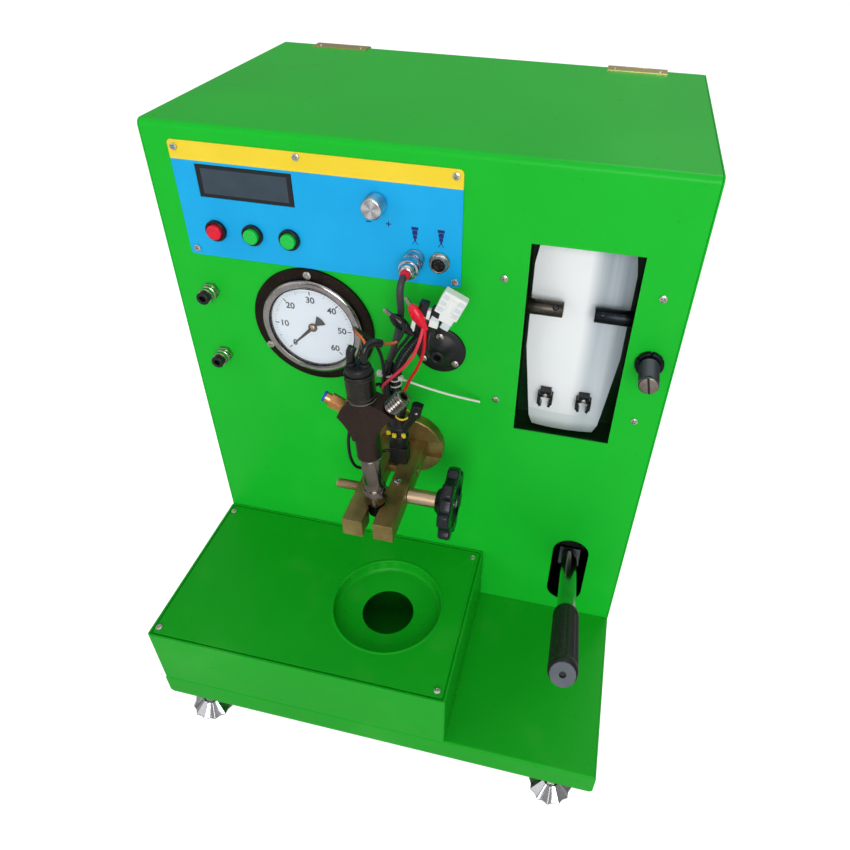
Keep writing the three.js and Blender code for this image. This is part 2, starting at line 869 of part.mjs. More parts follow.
// Oil tray: a box open at the top, with a ledge for its lid
const trayFront = -deckDepth;
const trayRear = -fit;
const trayFloor = deckHeight + fit;
const lidSeat = trayTop - lidThickness - fit;
const lidEdge = trayWall + trayLidGap;
const cupX = jawGapX + cupFromJaws;
const cupY = trayFront + cupFromFront;
const lidScrewPlaces = [
  [lidScrewInset, trayFront + lidScrewInset + trayWall],
  [trayWidth - lidScrewInset - trayWall, trayFront + lidScrewInset + trayWall],
  [lidScrewInset, trayRear - lidScrewInset - trayWall - trayWall],
  [trayWidth - lidScrewInset - trayWall, trayRear - lidScrewInset - trayWall - trayWall],
];

function trayBox() {
  const outer = runZ(rounded(0, trayFront, trayWidth, trayRear, trayCorner), trayFloor, trayTop, 3);
  const hollow = block(trayWall, trayWidth - trayWall, trayFront + trayWall, trayRear - trayWall,
    trayFloor - overrun, trayTop + overrun);
  const inset = trayWall + trayLedge;
  const ledge = block(trayWall - overrun / 2, trayWidth - trayWall + overrun / 2,
    trayFront + trayWall - overrun / 2, trayRear - trayWall + overrun / 2, lidSeat - sheet, lidSeat);
  const opening = block(inset, trayWidth - inset, trayFront + inset, trayRear - inset,
    trayFloor, trayTop);
  return mesh('tray_box', outer.subtract(hollow).add(ledge.intersect(outer).subtract(opening)), 'deckGreen');
}

function trayLid() {
  const plate = rounded(lidEdge, trayFront + lidEdge, trayWidth - lidEdge, trayRear - lidEdge,
    trayCorner);
  const base = trayTop - lidThickness;
  const floor = trayTop - cupDepth;
  const inner = cupRadius - cupWall;
  const cup = turnUp([
    [cupRadius, trayTop], [cupRadius, floor - cupWall + cupFillet],
    [cupRadius - cupFillet, floor - cupWall], [drainRadius, floor - cupWall],
    [drainRadius, floor], [inner - cupFillet, floor], [inner, floor + cupFillet], [inner, trayTop],
  ], cupX, cupY, 24);
  let lid = runZ(plate, base, trayTop, 3)
    .subtract(rodUp(cupRadius - cupWall / 2, cupX, cupY, base - overrun, trayTop + overrun, 24))
    .add(cup);
  for (const [x, y] of lidScrewPlaces) {
    lid = lid.subtract(rodUp(lidScrewHole, x, y, base - overrun, trayTop + overrun, 6));
  }
  return mesh('tray_lid', lid, 'deckGreen');
}

// Driver panel
const labelFace = fit + labelThickness;
const onLabel = labelFace + fit;
const buttonPlaces = [redButtonX, greenButtonX, testButtonX];
const socketPlaces = [driverSocketX, spareSocketX];

function labelPlate() {
  const sheetOutline = rounded(labelLeft, labelBottom, labelRight, labelTop, labelCorner);
  let plate = runY(sheetOutline, -labelFace, -fit, 4);
  plate = plate.subtract(runY(rectangle(lcdLeft - fit, lcdBottom - fit, lcdRight + fit, lcdTop + fit),
    -overrun, overrun));
  for (const hole of labelHoles()) plate = plate.subtract(hole);
  return mesh('label_plate', plate, 'label');
}

function lcdWindow() {
  const pane = runY(rectangle(lcdLeft, lcdBottom, lcdRight, lcdTop), -labelFace, -fit);
  return mesh('lcd_window', pane, 'display');
}

// The driver's board box, with the display block and the knob's bush in front
function controllerHousing() {
  const box = runY(rounded(housingLeft, housingBottom, housingRight, housingTop, housingCorner),
    housingFront, housingFront + housingDepth, 3);
  const display = block(lcdLeft, lcdRight, shellInset, housingFront + overrun, lcdBottom, lcdTop);
  const bushEnd = labelFace + bushProud;
  const bush = rodOut(bushRadius, knobX, knobZ, -bushEnd, housingFront + overrun, smallSides);
  const bore = rodOut(shaftRadius + fit, knobX, knobZ, -bushEnd - overrun, shaftDepth + fit, smallSides);
  return mesh('controller_housing', joined(box, display, bush).subtract(bore), 'blackPlastic');
}

function buttonRing(name, x) {
  const rear = onLabel - ringBarrelLength;
  const face = onLabel + ringThickness;
  const bore = buttonRadius + fit;
  const piece = mesh(name, turnOut([
    [0, rear], [ringBarrelRadius, rear], [ringBarrelRadius, onLabel], [ringRadius, onLabel],
    [ringRadius, face - ringChamfer], [ringRadius - ringChamfer, face], [bore, face],
    [bore, rear + ringFloor], [0, rear + ringFloor],
  ], 0, 0, smallSides), 'blackPlastic');
  piece.position.set(x, 0, buttonZ);
  return piece;
}

function buttonCap(name, x, finish) {
  const rear = buttonProud - buttonLength;
  const piece = mesh(name, turnOut([
    [0, rear], [buttonRadius, rear], [buttonRadius, buttonProud - buttonRim],
    [buttonRadius - buttonRim, buttonProud], [0, buttonProud],
  ], 0, 0, smallSides), finish);
  piece.position.set(x, 0, buttonZ);
  return piece;
}

function adjustKnob() {
  const back = labelFace + bushProud + fit;
  const face = back + knobLength;
  const flutes = lobed(knobFluteCount, knobRadius, knobGroove, 2);
  const smaller = scaled(flutes, (knobRadius - buttonRim) / knobRadius);
  const body = loft([ring(flutes, outward, back), ring(flutes, outward, face - buttonRim),
    ring(smaller, outward, face)]);
  const shaft = rodOut(shaftRadius, 0, 0, -back - buttonRim, shaftDepth, smallSides);
  const piece = mesh('adjust_knob', joined(body, shaft), 'aluminium');
  piece.position.set(knobX, 0, knobZ);
  return piece;
}

function socket(name, x) {
  const nutFace = onLabel + socketNutThickness;
  const end = socketReach;
  const piece = mesh(name, turnOut([
    [0, -socketRear], [socketRadius, -socketRear], [socketRadius, onLabel], [socketNutRadius, onLabel],
    [socketNutRadius, nutFace], [socketRadius, nutFace], [socketRadius, end], [socketBore, end],
    [socketBore, end - socketBoreDepth], [0, end - socketBoreDepth],
  ], 0, 0, smallSides), 'nickel');
  piece.position.set(x, 0, socketZ);
  return piece;
}

// Pressure gauge
const gaugeFace = fit + gaugeFlangeThickness;
const dialFace = gaugeFace + fit + dialThickness;
const pointerBack = dialFace + fit;
const bezelFront = gaugeFace + fit + bezelRise;
const glassBack = bezelFront - bezelLipThickness - fit - glassThickness;

function gaugeCase() {
  const bore = pointerShaft + fit;
  const neckEnd = -gaugeCaseDepth - gaugeNeckLength;
  const boreEnd = pointerBack - pointerShaftLength - fit;
  return mesh('gauge_case', turnOut([
    [0, neckEnd], [gaugeNeckRadius, neckEnd], [gaugeNeckRadius, -gaugeCaseDepth],
    [gaugeCaseRadius, -gaugeCaseDepth], [gaugeCaseRadius, fit], [gaugeFlangeRadius, fit],
    [gaugeFlangeRadius, gaugeFace], [bore, gaugeFace], [bore, boreEnd], [0, boreEnd],
  ], gaugeX, gaugeZ, gaugeSides), 'blackSteel');
}

function gaugeBezel() {
  const back = gaugeFace + fit;
  const lip = bezelInnerRadius - bezelLip;
  const inside = bezelFront - bezelLipThickness;
  const face = bezelFront - bezelLipThickness / 2;
  return mesh('gauge_bezel', turnOut([
    [bezelInnerRadius, back], [bezelOuterRadius, back], [bezelOuterRadius, bezelFront - bezelRound],
    [bezelOuterRadius - bezelRound / 2, face], [bezelOuterRadius - bezelRound, bezelFront],
    [lip, bezelFront], [lip, inside], [bezelInnerRadius, inside],
  ], gaugeX, gaugeZ, gaugeSides), 'chrome');
}

function gaugeDial() {
  const bore = pointerShaft + fit;
  const edge = bezelInnerRadius - fit;
  return mesh('gauge_dial', turnOut([
    [bore, gaugeFace + fit], [edge, gaugeFace + fit], [edge, dialFace], [bore, dialFace],
  ], gaugeX, gaugeZ, gaugeSides), 'dial');
}

// The pointer lies at zero, toward the lower left, with a spade-shaped tail
function gaugePointer() {
  const half = pointerWidth / 2;
  const blade = outline([
    [pointerReach, 0], [pointerHub, half], [-pointerTail / 2, half],
    [-pointerTail + pointerSpade / 2, pointerSpade / 2], [-pointerTail, half],
    [-pointerTail, -half], [-pointerTail + pointerSpade / 2, -pointerSpade / 2],
    [-pointerTail / 2, -half], [pointerHub, -half],
  ]);
  const front = pointerBack + pointerThickness;
  const hub = rodOut(pointerHub, 0, 0, -pointerBack - pointerHubRise, -pointerBack, smallSides);
  const shaft = rodOut(pointerShaft, 0, 0, -front, pointerShaftLength - pointerBack, 12);
  const piece = mesh('gauge_pointer', joined(runY(blade, -front, -pointerBack), hub, shaft),
    'blackPlastic');
  piece.position.set(gaugeX, 0, gaugeZ);
  piece.rotation.y = -pointerRest;
  return piece;
}

function gaugeGlass() {
  return mesh('gauge_glass', rodOut(bezelInnerRadius - fit, gaugeX, gaugeZ,
    -glassBack - glassThickness, -glassBack, gaugeSides), 'glass');
}

// Return hood: a screwed disc that sweeps in to a small spout
function outletHood() {
  const face = fit + hoodThickness;
  const sweep = [];
  for (let i = 0; i <= hoodCurveSteps; i += 1) {
    const share = i / hoodCurveSteps;
    sweep.push([
      hoodNoseRadius + (hoodShoulderRadius - hoodNoseRadius) * (1 - share) ** hoodCurveShare,
      face + (hoodReach - face) * share,
    ]);
  }
  return mesh('outlet_hood', turnOut([
    [0, -hoodStemLength], [hoodStemRadius, -hoodStemLength], [hoodStemRadius, fit], [hoodRadius, fit],
    [hoodRadius, face - hoodChamfer], [hoodRadius - hoodChamfer, face], ...sweep,
    [hoodBore, hoodReach], [hoodBore, hoodReach - hoodBoreDepth], [0, hoodReach - hoodBoreDepth],
  ], hoodX, hoodZ, hoodSides), 'blackPlastic');
}

function coupling(name, z) {
  const end = couplingReach + couplingNoseLength;
  const nutFace = fit + couplingNutThickness;
  const body = turnOut([
    [0, -couplingRear], [couplingStemRadius, -couplingRear], [couplingStemRadius, nutFace],
    [couplingRadius, nutFace], [couplingRadius, couplingReach], [couplingNoseRadius, couplingReach],
    [couplingNoseRadius, end - coilChamfer], [couplingNoseRadius - coilChamfer, end],
    [couplingBore, end], [couplingBore, end - couplingBoreDepth], [0, end - couplingBoreDepth],
  ], 0, 0, smallSides);
  const nut = runY(polygon(6, couplingNutRadius), -nutFace, -fit);
  const piece = mesh(name, joined(body, nut), 'nickel');
  piece.position.set(couplingX, 0, z);
  return piece;
}

// Release valve: a notched nut and body, and a spindle turned with a screwdriver
const spindleHeadBack = fit + valveNutThickness + fit;

function valveBody() {
  const face = fit + valveNutThickness;
  const bore = spindleRadius + fit;
  const boreEnd = -spindleDepth - fit;
  let body = turnOut([
    [0, -valveBodyDepth], [valveBodyRadius, -valveBodyDepth], [valveBodyRadius, fit],
    [valveNutRadius, fit], [valveNutRadius, face], [bore, face], [bore, boreEnd], [0, boreEnd],
  ], 0, 0, valveSides);
  for (let i = 0; i < valveNotches; i += 1) {
    const angle = (2 * Math.PI * i) / valveNotches;
    const notch = new THREE.BoxGeometry(2 * valveNotchDepth, 2 * overrun, valveNotchWidth);
    notch.translate(valveNutRadius, -fit - overrun, 0).rotateY(angle);
    body = body.subtract(solid(notch));
  }
  const piece = mesh('valve_body', body, 'blackSteel');
  piece.position.set(valveX, 0, valveZ);
  return piece;
}

function valveSpindle() {
  const head = turnOut([
    [0, -spindleDepth], [spindleRadius, -spindleDepth], [spindleRadius, spindleHeadBack],
    [spindleHeadRadius, spindleHeadBack], [spindleHeadRadius, spindleReach - coilChamfer],
    [spindleHeadRadius - coilChamfer, spindleReach], [0, spindleReach],
  ], 0, 0, valveSides);
  const slot = block(-spindleSlot / 2, spindleSlot / 2, -spindleReach - overrun,
    spindleSlotDepth - spindleReach, -spindleHeadRadius, spindleHeadRadius);
  const piece = mesh('valve_spindle', head.subtract(slot), 'steel');
  piece.position.set(valveX, 0, valveZ);
  return piece;
}

// Spray window: a chamber behind the panel, a bowed back plate and two spouts
const chamberFront = shellInset;
const chamberRear = shellInset + chamberDepth;
const chamberLeft = windowLeft - chamberMargin;
const chamberRight = windowRight + chamberMargin;

function sprayChamber() {
  const shell = block(chamberLeft, chamberRight, chamberFront, chamberRear,
    windowBottom - chamberDrop, windowTop + chamberMargin);
  const room = block(chamberLeft + chamberWall, chamberRight - chamberWall, chamberFront - overrun,
    chamberRear - chamberWall, windowBottom - chamberDrop + chamberWall,
    windowTop + chamberMargin - chamberWall);
  let chamber = shell;
  for (const z of [windowBottom + windowScrewRise, windowTop - windowScrewRise]) {
    chamber = chamber.add(block(chamberLeft - chamberEarReach, chamberRight + chamberEarReach,
      chamberFront, chamberFront + chamberWall, z - chamberEarHeight / 2, z + chamberEarHeight / 2));
  }
  chamber = chamber.subtract(room);
  for (const x of [clipLeftX, clipRightX]) {
    chamber = chamber.add(rodOut(chamberPostRadius, x, clipZ + clipRadius, postFront(x),
      chamberRear - chamberWall / 2, stemSides));
  }
  return mesh('spray_chamber', chamber, 'chamberGreen');
}

// The plate is an arc in plan: this is how far its face has swept back at an offset
const plateBottom = plateTop - plateFall;
const plateArc = (plateWideHalf ** 2 + plateBow ** 2) / (2 * plateBow);

function plateSweep(offset) {
  return plateArc - Math.sqrt(plateArc ** 2 - offset ** 2);
}

function postFront(x) {
  return platePlane + plateThickness + plateSweep(Math.abs(x - plateX) + clipRadius) + fit;
}

function plateSection() {
  const spread = Math.asin((plateWideHalf + sheet) / plateArc);
  const section = new THREE.Shape();
  const centreY = platePlane + plateArc;
  const up = -Math.PI / 2;
  section.absarc(plateX, centreY, plateArc, up - spread, up + spread, false);
  section.absarc(plateX, centreY, plateArc - plateThickness, up + spread, up - spread, true);
  return section;
}

function toolClip(x) {
  const inner = clipRadius - clipThickness;
  const shape = new THREE.Shape();
  shape.moveTo(x + clipRadius, clipZ - clipLeg);
  shape.absarc(x, clipZ, clipRadius, 0, Math.PI, false);
  shape.lineTo(x - clipRadius, clipZ - clipLeg);
  shape.lineTo(x - inner, clipZ - clipLeg);
  shape.absarc(x, clipZ, inner, Math.PI, 0, true);
  shape.lineTo(x + inner, clipZ - clipLeg);
  const rear = platePlane + plateSweep(Math.abs(x - plateX) + clipRadius) + plateThickness / 2;
  return runY(shape, platePlane - clipDepth, rear, 5);
}

function backPlate() {
  const shoulder = plateTop - plateShoulder;
  const waist = plateTop - plateWaist;
  const taper = plateTop - plateFootFall;
  const face = outline([
    [plateX - plateTopHalf, plateTop], [plateX - plateWideHalf, shoulder],
    [plateX - plateWideHalf, waist],
    [plateX - plateFootHalf, taper], [plateX - plateEndHalf, plateBottom],
    [plateX + plateEndHalf, plateBottom], [plateX + plateFootHalf, taper],
    [plateX + plateWideHalf, waist], [plateX + plateWideHalf, shoulder],
    [plateX + plateTopHalf, plateTop],
  ]);
  const bowed = runZ(plateSection(), plateBottom - overrun, plateTop + overrun, 5);
  const cut = runY(face, platePlane - overrun, platePlane + plateBow + plateThickness + overrun);
  return mesh('back_plate', joined(bowed.intersect(cut), toolClip(clipLeftX), toolClip(clipRightX)),
    'whitePlastic');
}

function spout(name, x0, x1, firstHole, pitch) {
  let body = rodRight(spoutRadius, spoutY, spoutZ, x0, x1, smallSides);
  for (const x of [firstHole, firstHole + pitch]) {
    body = body.subtract(rodOut(spoutHole, x, spoutZ, spoutY - spoutRadius - overrun,
      spoutY - spoutRadius + spoutHoleDepth, 6));
  }
  return mesh(name, body, 'blackSteel');
}

function spouts() {
  const left = chamberLeft + chamberWall + fit;
  const right = chamberRight - chamberWall - fit;
  const step = spoutHoleInset + spoutHolePitch;
  return [
    spout('spout_left', left, left + spoutLength, left + spoutLength - step, spoutHolePitch),
    spout('spout_right', right - spoutLength, right, right - spoutLength + spoutHoleInset,
      spoutHolePitch),
  ];
}

// Hand pump behind the slot
const pivotZ = leverPanelZ - pivotDepth * Math.tan(leverRest);
const rollerRestZ = pivotZ + rollerReach * Math.sin(leverRest) - rollerDrop * Math.cos(leverRest);
const pistonTop = rollerRestZ - rollerRadius - rollerGap;
const pumpPlateBase = deckHeight + fit;
const pumpPlateTop = pumpPlateBase + pumpPlateThickness;

function pumpBody() {
  const half = pumpPlateHalfWidth;
  const plate = runZ(rounded(leverX - half, pumpPlateFront, leverX + half, pumpPlateRear, pumpCorner),
    pumpPlateBase, pumpPlateTop, 3);
  const barrelTop = pumpPlateTop + pumpBarrelRise;
  const barrelEnd = deckHeight - pumpBarrelDrop;
  const barrel = rodUp(pumpBarrelRadius, leverX, pistonDepth, barrelEnd, barrelTop);
  const bore = rodUp(pistonRadius + fit, leverX, pistonDepth, barrelEnd + pumpFloor,
    barrelTop + overrun);
  const inside = leverHubWidth / 2 + fit;
  let body = joined(plate, barrel);
  for (const side of [-1, 1]) {
    const near = leverX + side * inside;
    const far = leverX + side * (inside + cheekThickness);
    const cheek = new THREE.Shape();
    cheek.moveTo(pivotDepth - cheekReach, pumpPlateTop - sheet);
    cheek.lineTo(pivotDepth + cheekReach, pumpPlateTop - sheet);
    cheek.absarc(pivotDepth, pivotZ, cheekReach - sheet, 0, Math.PI, false);
    body = body.add(runX(cheek, Math.min(near, far), Math.max(near, far), 4));
  }
  const reach = inside + cheekThickness;
  const pin = rodRight(pivotRadius, pivotDepth, pivotZ, leverX - reach, leverX + reach);
  return mesh('pump_body', joined(body, pin).subtract(bore), 'steel');
}

function pumpPiston() {
  const capBase = pistonTop - pistonCapThickness;
  const rod = rodUp(pistonRadius, leverX, pistonDepth, capBase - pistonLength, pistonTop);
  const cap = rodUp(pistonCapRadius, leverX, pistonDepth, capBase, pistonTop);
  return mesh('pump_piston', joined(rod, cap), 'steel');
}

// The lever is drawn pointing out of the panel from its pivot, then tilted up
function pumpLever() {
  const hub = runX(cutRectangle(-leverHubFront, -leverHubHalf, leverHubRear, leverHubHalf,
    leverHubChamfer), -leverHubWidth / 2, leverHubWidth / 2);
  const rodEnd = leverLength + fit;
  const rod = turnOut([
    [0, leverHubFront - overrun], [leverRodRadius, leverHubFront - overrun],
    [leverRodRadius, rodEnd], [leverCapRadius, rodEnd],
    [leverCapRadius, rodEnd + leverCapThickness], [leverCapHole, rodEnd + leverCapThickness],
    [leverCapHole, rodEnd], [0, rodEnd],
  ], 0, 0, 16);
  const noseHalf = rollerWidth / 2;
  const nose = joined(
    rodRight(rollerRadius, -rollerReach, -rollerDrop, -noseHalf, noseHalf, 12),
    block(-noseHalf, noseHalf, -rollerReach - rollerRadius, -rollerReach + rollerRadius,
      -rollerDrop, overrun - leverHubHalf),
  );
  const bore = rodRight(pivotRadius + fit, 0, 0, -leverHubWidth, leverHubWidth, 16);
  return mesh('pump_lever', joined(hub, rod, nose).subtract(bore), 'chrome');
}

function leverGrip() {
  const start = leverLength - gripLength;
  const bore = leverRodRadius + fit;
  return mesh('lever_grip', turnOut([
    [bore, start], [gripRadius - gripRound, start], [gripRadius, start + gripRound],
    [gripRadius, leverLength], [bore, leverLength],
  ], 0, 0, 16), 'rubber');
}

function leverGroup() {
  const group = new THREE.Group();
  group.position.set(leverX, pivotDepth, pivotZ);
  group.rotation.x = -leverRest;
  group.add(pumpLever(), leverGrip());
  return group;
}

// Oil tank behind the panel and the pipe from the pump to the gauge
function oilTank() {
  const base = pumpPlateBase;
  const top = base + tankHeight;
  const right = tankLeft + tankWidth;
  const rear = cabinetDepth - tankFromRear;
  const tank = runZ(rounded(tankLeft, rear - tankDepth, right, rear, tankCorner), base, top, 3);
  const neck = rodUp(tankNeckRadius, right - tankWidth / 4, rear - tankDepth / 4, top - overrun,
    top + tankNeckHeight);
  return mesh('oil_tank', joined(tank, neck), 'whitePlastic');
}

function tube(points, radius, sides, steps) {
  const route = new THREE.CatmullRomCurve3(points.map((p) => new THREE.Vector3(...p)));
  const section = polygon(sides, radius);
  return solid(new THREE.ExtrudeGeometry(section, { steps, extrudePath: route }));
}

function pressurePipe() {
  const gaugeEnd = gaugeCaseDepth + gaugeNeckLength + fit;
  const pumpEnd = leverX - pumpPlateHalfWidth - fit;
  const pumpZ = pumpPlateBase + pumpPlateThickness / 2;
  const back = gaugeEnd + pipeRun;
  const points = [
    [gaugeX, gaugeEnd, gaugeZ],
    [gaugeX, gaugeEnd + pipeRun / 2, gaugeZ],
    [gaugeX + pipeRun / 2, back, gaugeZ - pipeRun],
    [(gaugeX + pumpEnd) / 2 - pipeRun, back, (gaugeZ + pumpZ) / 2 + pipeRun],
    [pumpEnd - 3 * pipeRun, back, pumpZ + 2 * pipeRun],
    [pumpEnd - pipeRun, pivotDepth, pumpZ + pipeRun / 4],
    [pumpEnd - pipeRun / 3, pivotDepth - pipeRadius, pumpZ],
    [pumpEnd, pivotDepth - pipeRadius, pumpZ],
  ];
  return mesh('pressure_pipe', tube(points, pipeRadius, 6, 20), 'steel');
}

// Clamp: a boss on the panel, a fixed jaw and a jaw that a screw draws up to it
const bossFace = fit + bossThickness;
const jawEnd = -(bossFace - bossSlotDepth) - fit;
const fixedRight = jawGapX - jawGap / 2;
const movingLeft = jawGapX + jawGap / 2;
const movingRight = movingLeft + jawWidth;
const injectorY = -jawReach + injectorSetback;
const screwY = -jawReach + screwSetback;
const guideY = -jawReach + guideSetback;
const jawTop = bossZ + jawHeight / 2;

function clampBoss() {
  const disc = turnOut([
    [0, -bossStudLength], [bossStudRadius, -bossStudLength], [bossStudRadius, fit],
    [bossRadius, fit], [bossRadius, bossFace - bossChamfer], [bossRadius - bossChamfer, bossFace],
    [0, bossFace],
  ], bossX, bossZ, discSides);
  const slot = block(bossX - bossRadius - overrun, bossX + bossRadius + overrun,
    -bossFace - overrun, bossSlotDepth - bossFace, bossZ - jawHeight / 2 - fit, jawTop + fit);
  const nut = runY(polygon(6, bossNutRadius, bossX, bossZ), shellInset, shellInset + bossNutThickness);
  return mesh('clamp_boss', joined(disc.subtract(slot), nut), 'brass');
}

// A bar of square section with its long edges broken
function jawBar(left, right) {
  const section = cutRectangle(left, bossZ - jawHeight / 2, right, jawTop, jawChamfer);
  return runY(section, -jawReach, jawEnd);
}

// The vee that grips the injector: its faces clear the neck as it leans
function jawNotch(side) {
  const lean = Math.tan(injectorLean) * neckDrop / 2;
  const apex = (neckRadius + fit + lean) / Math.sin(notchAngle / 2);
  const half = apex * Math.tan(notchAngle / 2);
  const vee = outline([
    [jawGapX, injectorY - half], [jawGapX + side * apex, injectorY], [jawGapX, injectorY + half],
  ]);
  return runZ(vee, bossZ - jawHeight, bossZ + jawHeight);
}

function fixedJaw() {
  const left = fixedRight - jawWidth;
  const bar = jawBar(left, fixedRight)
    .subtract(jawNotch(-1))
    .subtract(rodRight(screwRadius + fit, screwY, bossZ, left - overrun, fixedRight + overrun));
  const pin = rodRight(guideRadius, guideY, bossZ, fixedRight - sheet, movingLeft + guideLength, 16);
  return mesh('fixed_jaw', joined(bar, pin), 'brass');
}

function movingJaw() {
  const bar = jawBar(movingLeft, movingRight)
    .subtract(jawNotch(1))
    .subtract(rodRight(screwRadius + fit, screwY, bossZ, movingLeft - overrun, movingRight + overrun))
    .subtract(rodRight(guideRadius + fit, guideY, bossZ, movingLeft - overrun,
      movingRight + overrun));
  return mesh('moving_jaw', bar, 'brass');
}

const sleeveStart = movingRight + fit;
const sleeveEnd = sleeveStart + sleeveLength;

function clampSpindle() {
  const tail = fixedRight - jawWidth - screwTail;
  return mesh('clamp_spindle', turnRight([
    [0, tail], [screwRadius - screwChamfer, tail], [screwRadius, tail + screwChamfer],
    [screwRadius, sleeveStart], [sleeveRadius, sleeveStart], [sleeveRadius, sleeveEnd],
    [screwRadius, sleeveEnd], [screwRadius, sleeveEnd + wheelSeat], [0, sleeveEnd + wheelSeat],
  ], screwY, bossZ, smallSides), 'chrome');
}

function handwheel() {
  const lobes = lobed(wheelLobes, wheelRadius, wheelLobeDepth, 5);
  const edge = scaled(lobes, (wheelRadius - wheelBevel) / wheelRadius);
  const hubStart = sleeveEnd + fit;
  const back = hubStart + wheelHubLength;
  const face = back + wheelThickness;
  const place = rightward(screwY, bossZ);
  const rim = loft([ring(edge, place, back), ring(lobes, place, back + wheelBevel),
    ring(lobes, place, face - wheelBevel), ring(edge, place, face)]);
  const hub = rodRight(wheelHubRadius, screwY, bossZ, hubStart, back + wheelBevel, 14);
  const bore = rodRight(screwRadius + fit, screwY, bossZ, hubStart - overrun,
    sleeveEnd + wheelSeat + fit, smallSides);
  const dish = turnRight([
    [0, face - wheelDish], [wheelDishRadius - wheelDish, face - wheelDish],
    [wheelDishRadius, face], [wheelDishRadius, face + overrun], [0, face + overrun],
  ], screwY, bossZ, 14);
  return mesh('handwheel', joined(rim, hub).subtract(bore).subtract(dish), 'blackPlastic');
}

// Injector: heights run up its own axis from the top of the jaws
function nozzleNut() {
  const tip = -neckDrop - nozzleLength;
  return mesh('nozzle_nut', turnUp([
    [0, tip], [nozzleRadius - nozzleChamfer, tip], [nozzleRadius, tip + nozzleChamfer],
    [nozzleRadius, -neckDrop], [neckRadius - nozzleChamfer, -neckDrop],
    [neckRadius, nozzleChamfer - neckDrop], [neckRadius, neckRise], [collarRadius, collarBase],
    [collarRadius, collarTop], [nozzleNutLowRadius, collarTop + nozzleChamfer],
    [nozzleNutTopRadius, nozzleNutTop], [0, nozzleNutTop],
  ], 0, 0, injectorSides), 'steel');
}

function seatCorners(reach, rise, elevation, side) {
  const across = seatHalfWidth * Math.sin(elevation);
  const up = seatHalfWidth * Math.cos(elevation);
  return [[side * (reach + across), rise - up], [side * (reach - across), rise + up]];
}

function shoulderOutline() {
  const [rightLow, rightHigh] = seatCorners(studSeatReach, studSeatRise, studElevation, 1);
  const [leftLow, leftHigh] = seatCorners(fittingSeatReach, fittingSeatRise, fittingElevation, -1);
  const waist = bodyRadius - bodyChamfer;
  const shape = new THREE.Shape();
  shape.moveTo(-waist, shoulderBase);
  shape.lineTo(waist, shoulderBase);
  shape.quadraticCurveTo(waist + bodyChamfer, (shoulderBase + rightLow[1]) / 2, ...rightLow);
  shape.lineTo(...rightHigh);
  shape.lineTo(waist, shoulderTop);
  shape.lineTo(-waist, shoulderTop);
  shape.lineTo(...leftHigh);
  shape.lineTo(...leftLow);
  shape.quadraticCurveTo(-waist - bodyChamfer, (shoulderBase + leftLow[1]) / 2, -waist, shoulderBase);
  return shape;
}

// A turned piece set on a slanted seat of the injector's shoulder
function seated(points, reach, rise, elevation, side) {
  const geometry = lathe(points, smallSides).applyMatrix4(sectionXZ);
  geometry.rotateY(side * (Math.PI / 2 - elevation));
  return solid(geometry.translate(side * reach, 0, rise));
}

function injectorBody() {
  const base = nozzleNutTop + fit;
  const barrel = turnUp([
    [0, base], [bodyRadius - bodyChamfer, base], [bodyRadius, base + bodyChamfer],
    [bodyRadius, shoulderTop], [0, shoulderTop],
  ], 0, 0, injectorSides);
  const shoulder = runY(shoulderOutline(), -shoulderHalfThickness, shoulderHalfThickness, 4);
  const stud = seated([
    [0, -overrun], [studRadius - coilChamfer, -overrun], [studRadius - coilChamfer, sheet],
    [studRadius, sheet], [studRadius, studLength - coilChamfer], [studRadius - coilChamfer, studLength],
    [studBore, studLength], [studBore - coilChamfer, studLength - studBoreDepth],
    [0, studLength - studBoreDepth],
  ], studSeatReach, studSeatRise, studElevation, 1);
  return mesh('injector_body', joined(barrel, shoulder, stud), 'blackSteel');
}

function solenoidNut() {
  const base = shoulderTop + fit;
  const grooveTop = coilTop - coilGrooveHeight;
  const body = turnUp([
    [0, base], [coilRadius - coilChamfer, base], [coilRadius, base + coilChamfer],
    [coilRadius, grooveTop - coilGrooveHeight], [coilRadius - coilGroove, grooveTop - coilGrooveHeight],
    [coilRadius - coilGroove, grooveTop], [coilRadius, grooveTop], [coilRadius, coilTop],
    [capRadius, coilTop + coilChamfer], [capRadius, capTop - coilChamfer],
    [capRadius - coilChamfer, capTop], [0, capTop],
  ], 0, 0, injectorSides);
  const posts = [-terminalSpread, terminalSpread].map((x) => rodUp(terminalRadius, x, 0,
    capTop - overrun, terminalTop, 8));
  return mesh('solenoid_nut', joined(body, ...posts), 'blackSteel');
}

function returnFitting() {
  const end = fittingHexLength + fittingSleeveLength;
  const hexagon = extruded(polygon(6, fittingHex), fittingHexLength - fit).translate(0, 0, fit);
  hexagon.rotateY(fittingElevation - Math.PI / 2);
  hexagon.translate(-fittingSeatReach, 0, fittingSeatRise);
  const sleeve = seated([
    [0, fittingHexLength - overrun], [fittingSleeveRadius, fittingHexLength - overrun],
    [fittingSleeveRadius, end], [fittingBore, end], [fittingBore, end - fittingBoreDepth],
    [0, end - fittingBoreDepth],
  ], fittingSeatReach, fittingSeatRise, fittingElevation, -1);
  return mesh('return_fitting', joined(solid(hexagon), sleeve), 'brass');
}

function injectorGroup() {
  const group = new THREE.Group();
  const shift = Math.tan(injectorLean) * neckDrop / 2;
  group.position.set(jawGapX - shift, injectorY, jawTop);
  group.rotation.y = -injectorLean;
  group.add(nozzleNut(), injectorBody(), solenoidNut(), returnFitting());
  return group;
}

// Harness: a plug and its cable, a loom, two test leads, a connector and the injector's plug
const plugStart = onLabel + socketNutThickness + fit;
const plugEnd = plugReach + plugNoseLength;

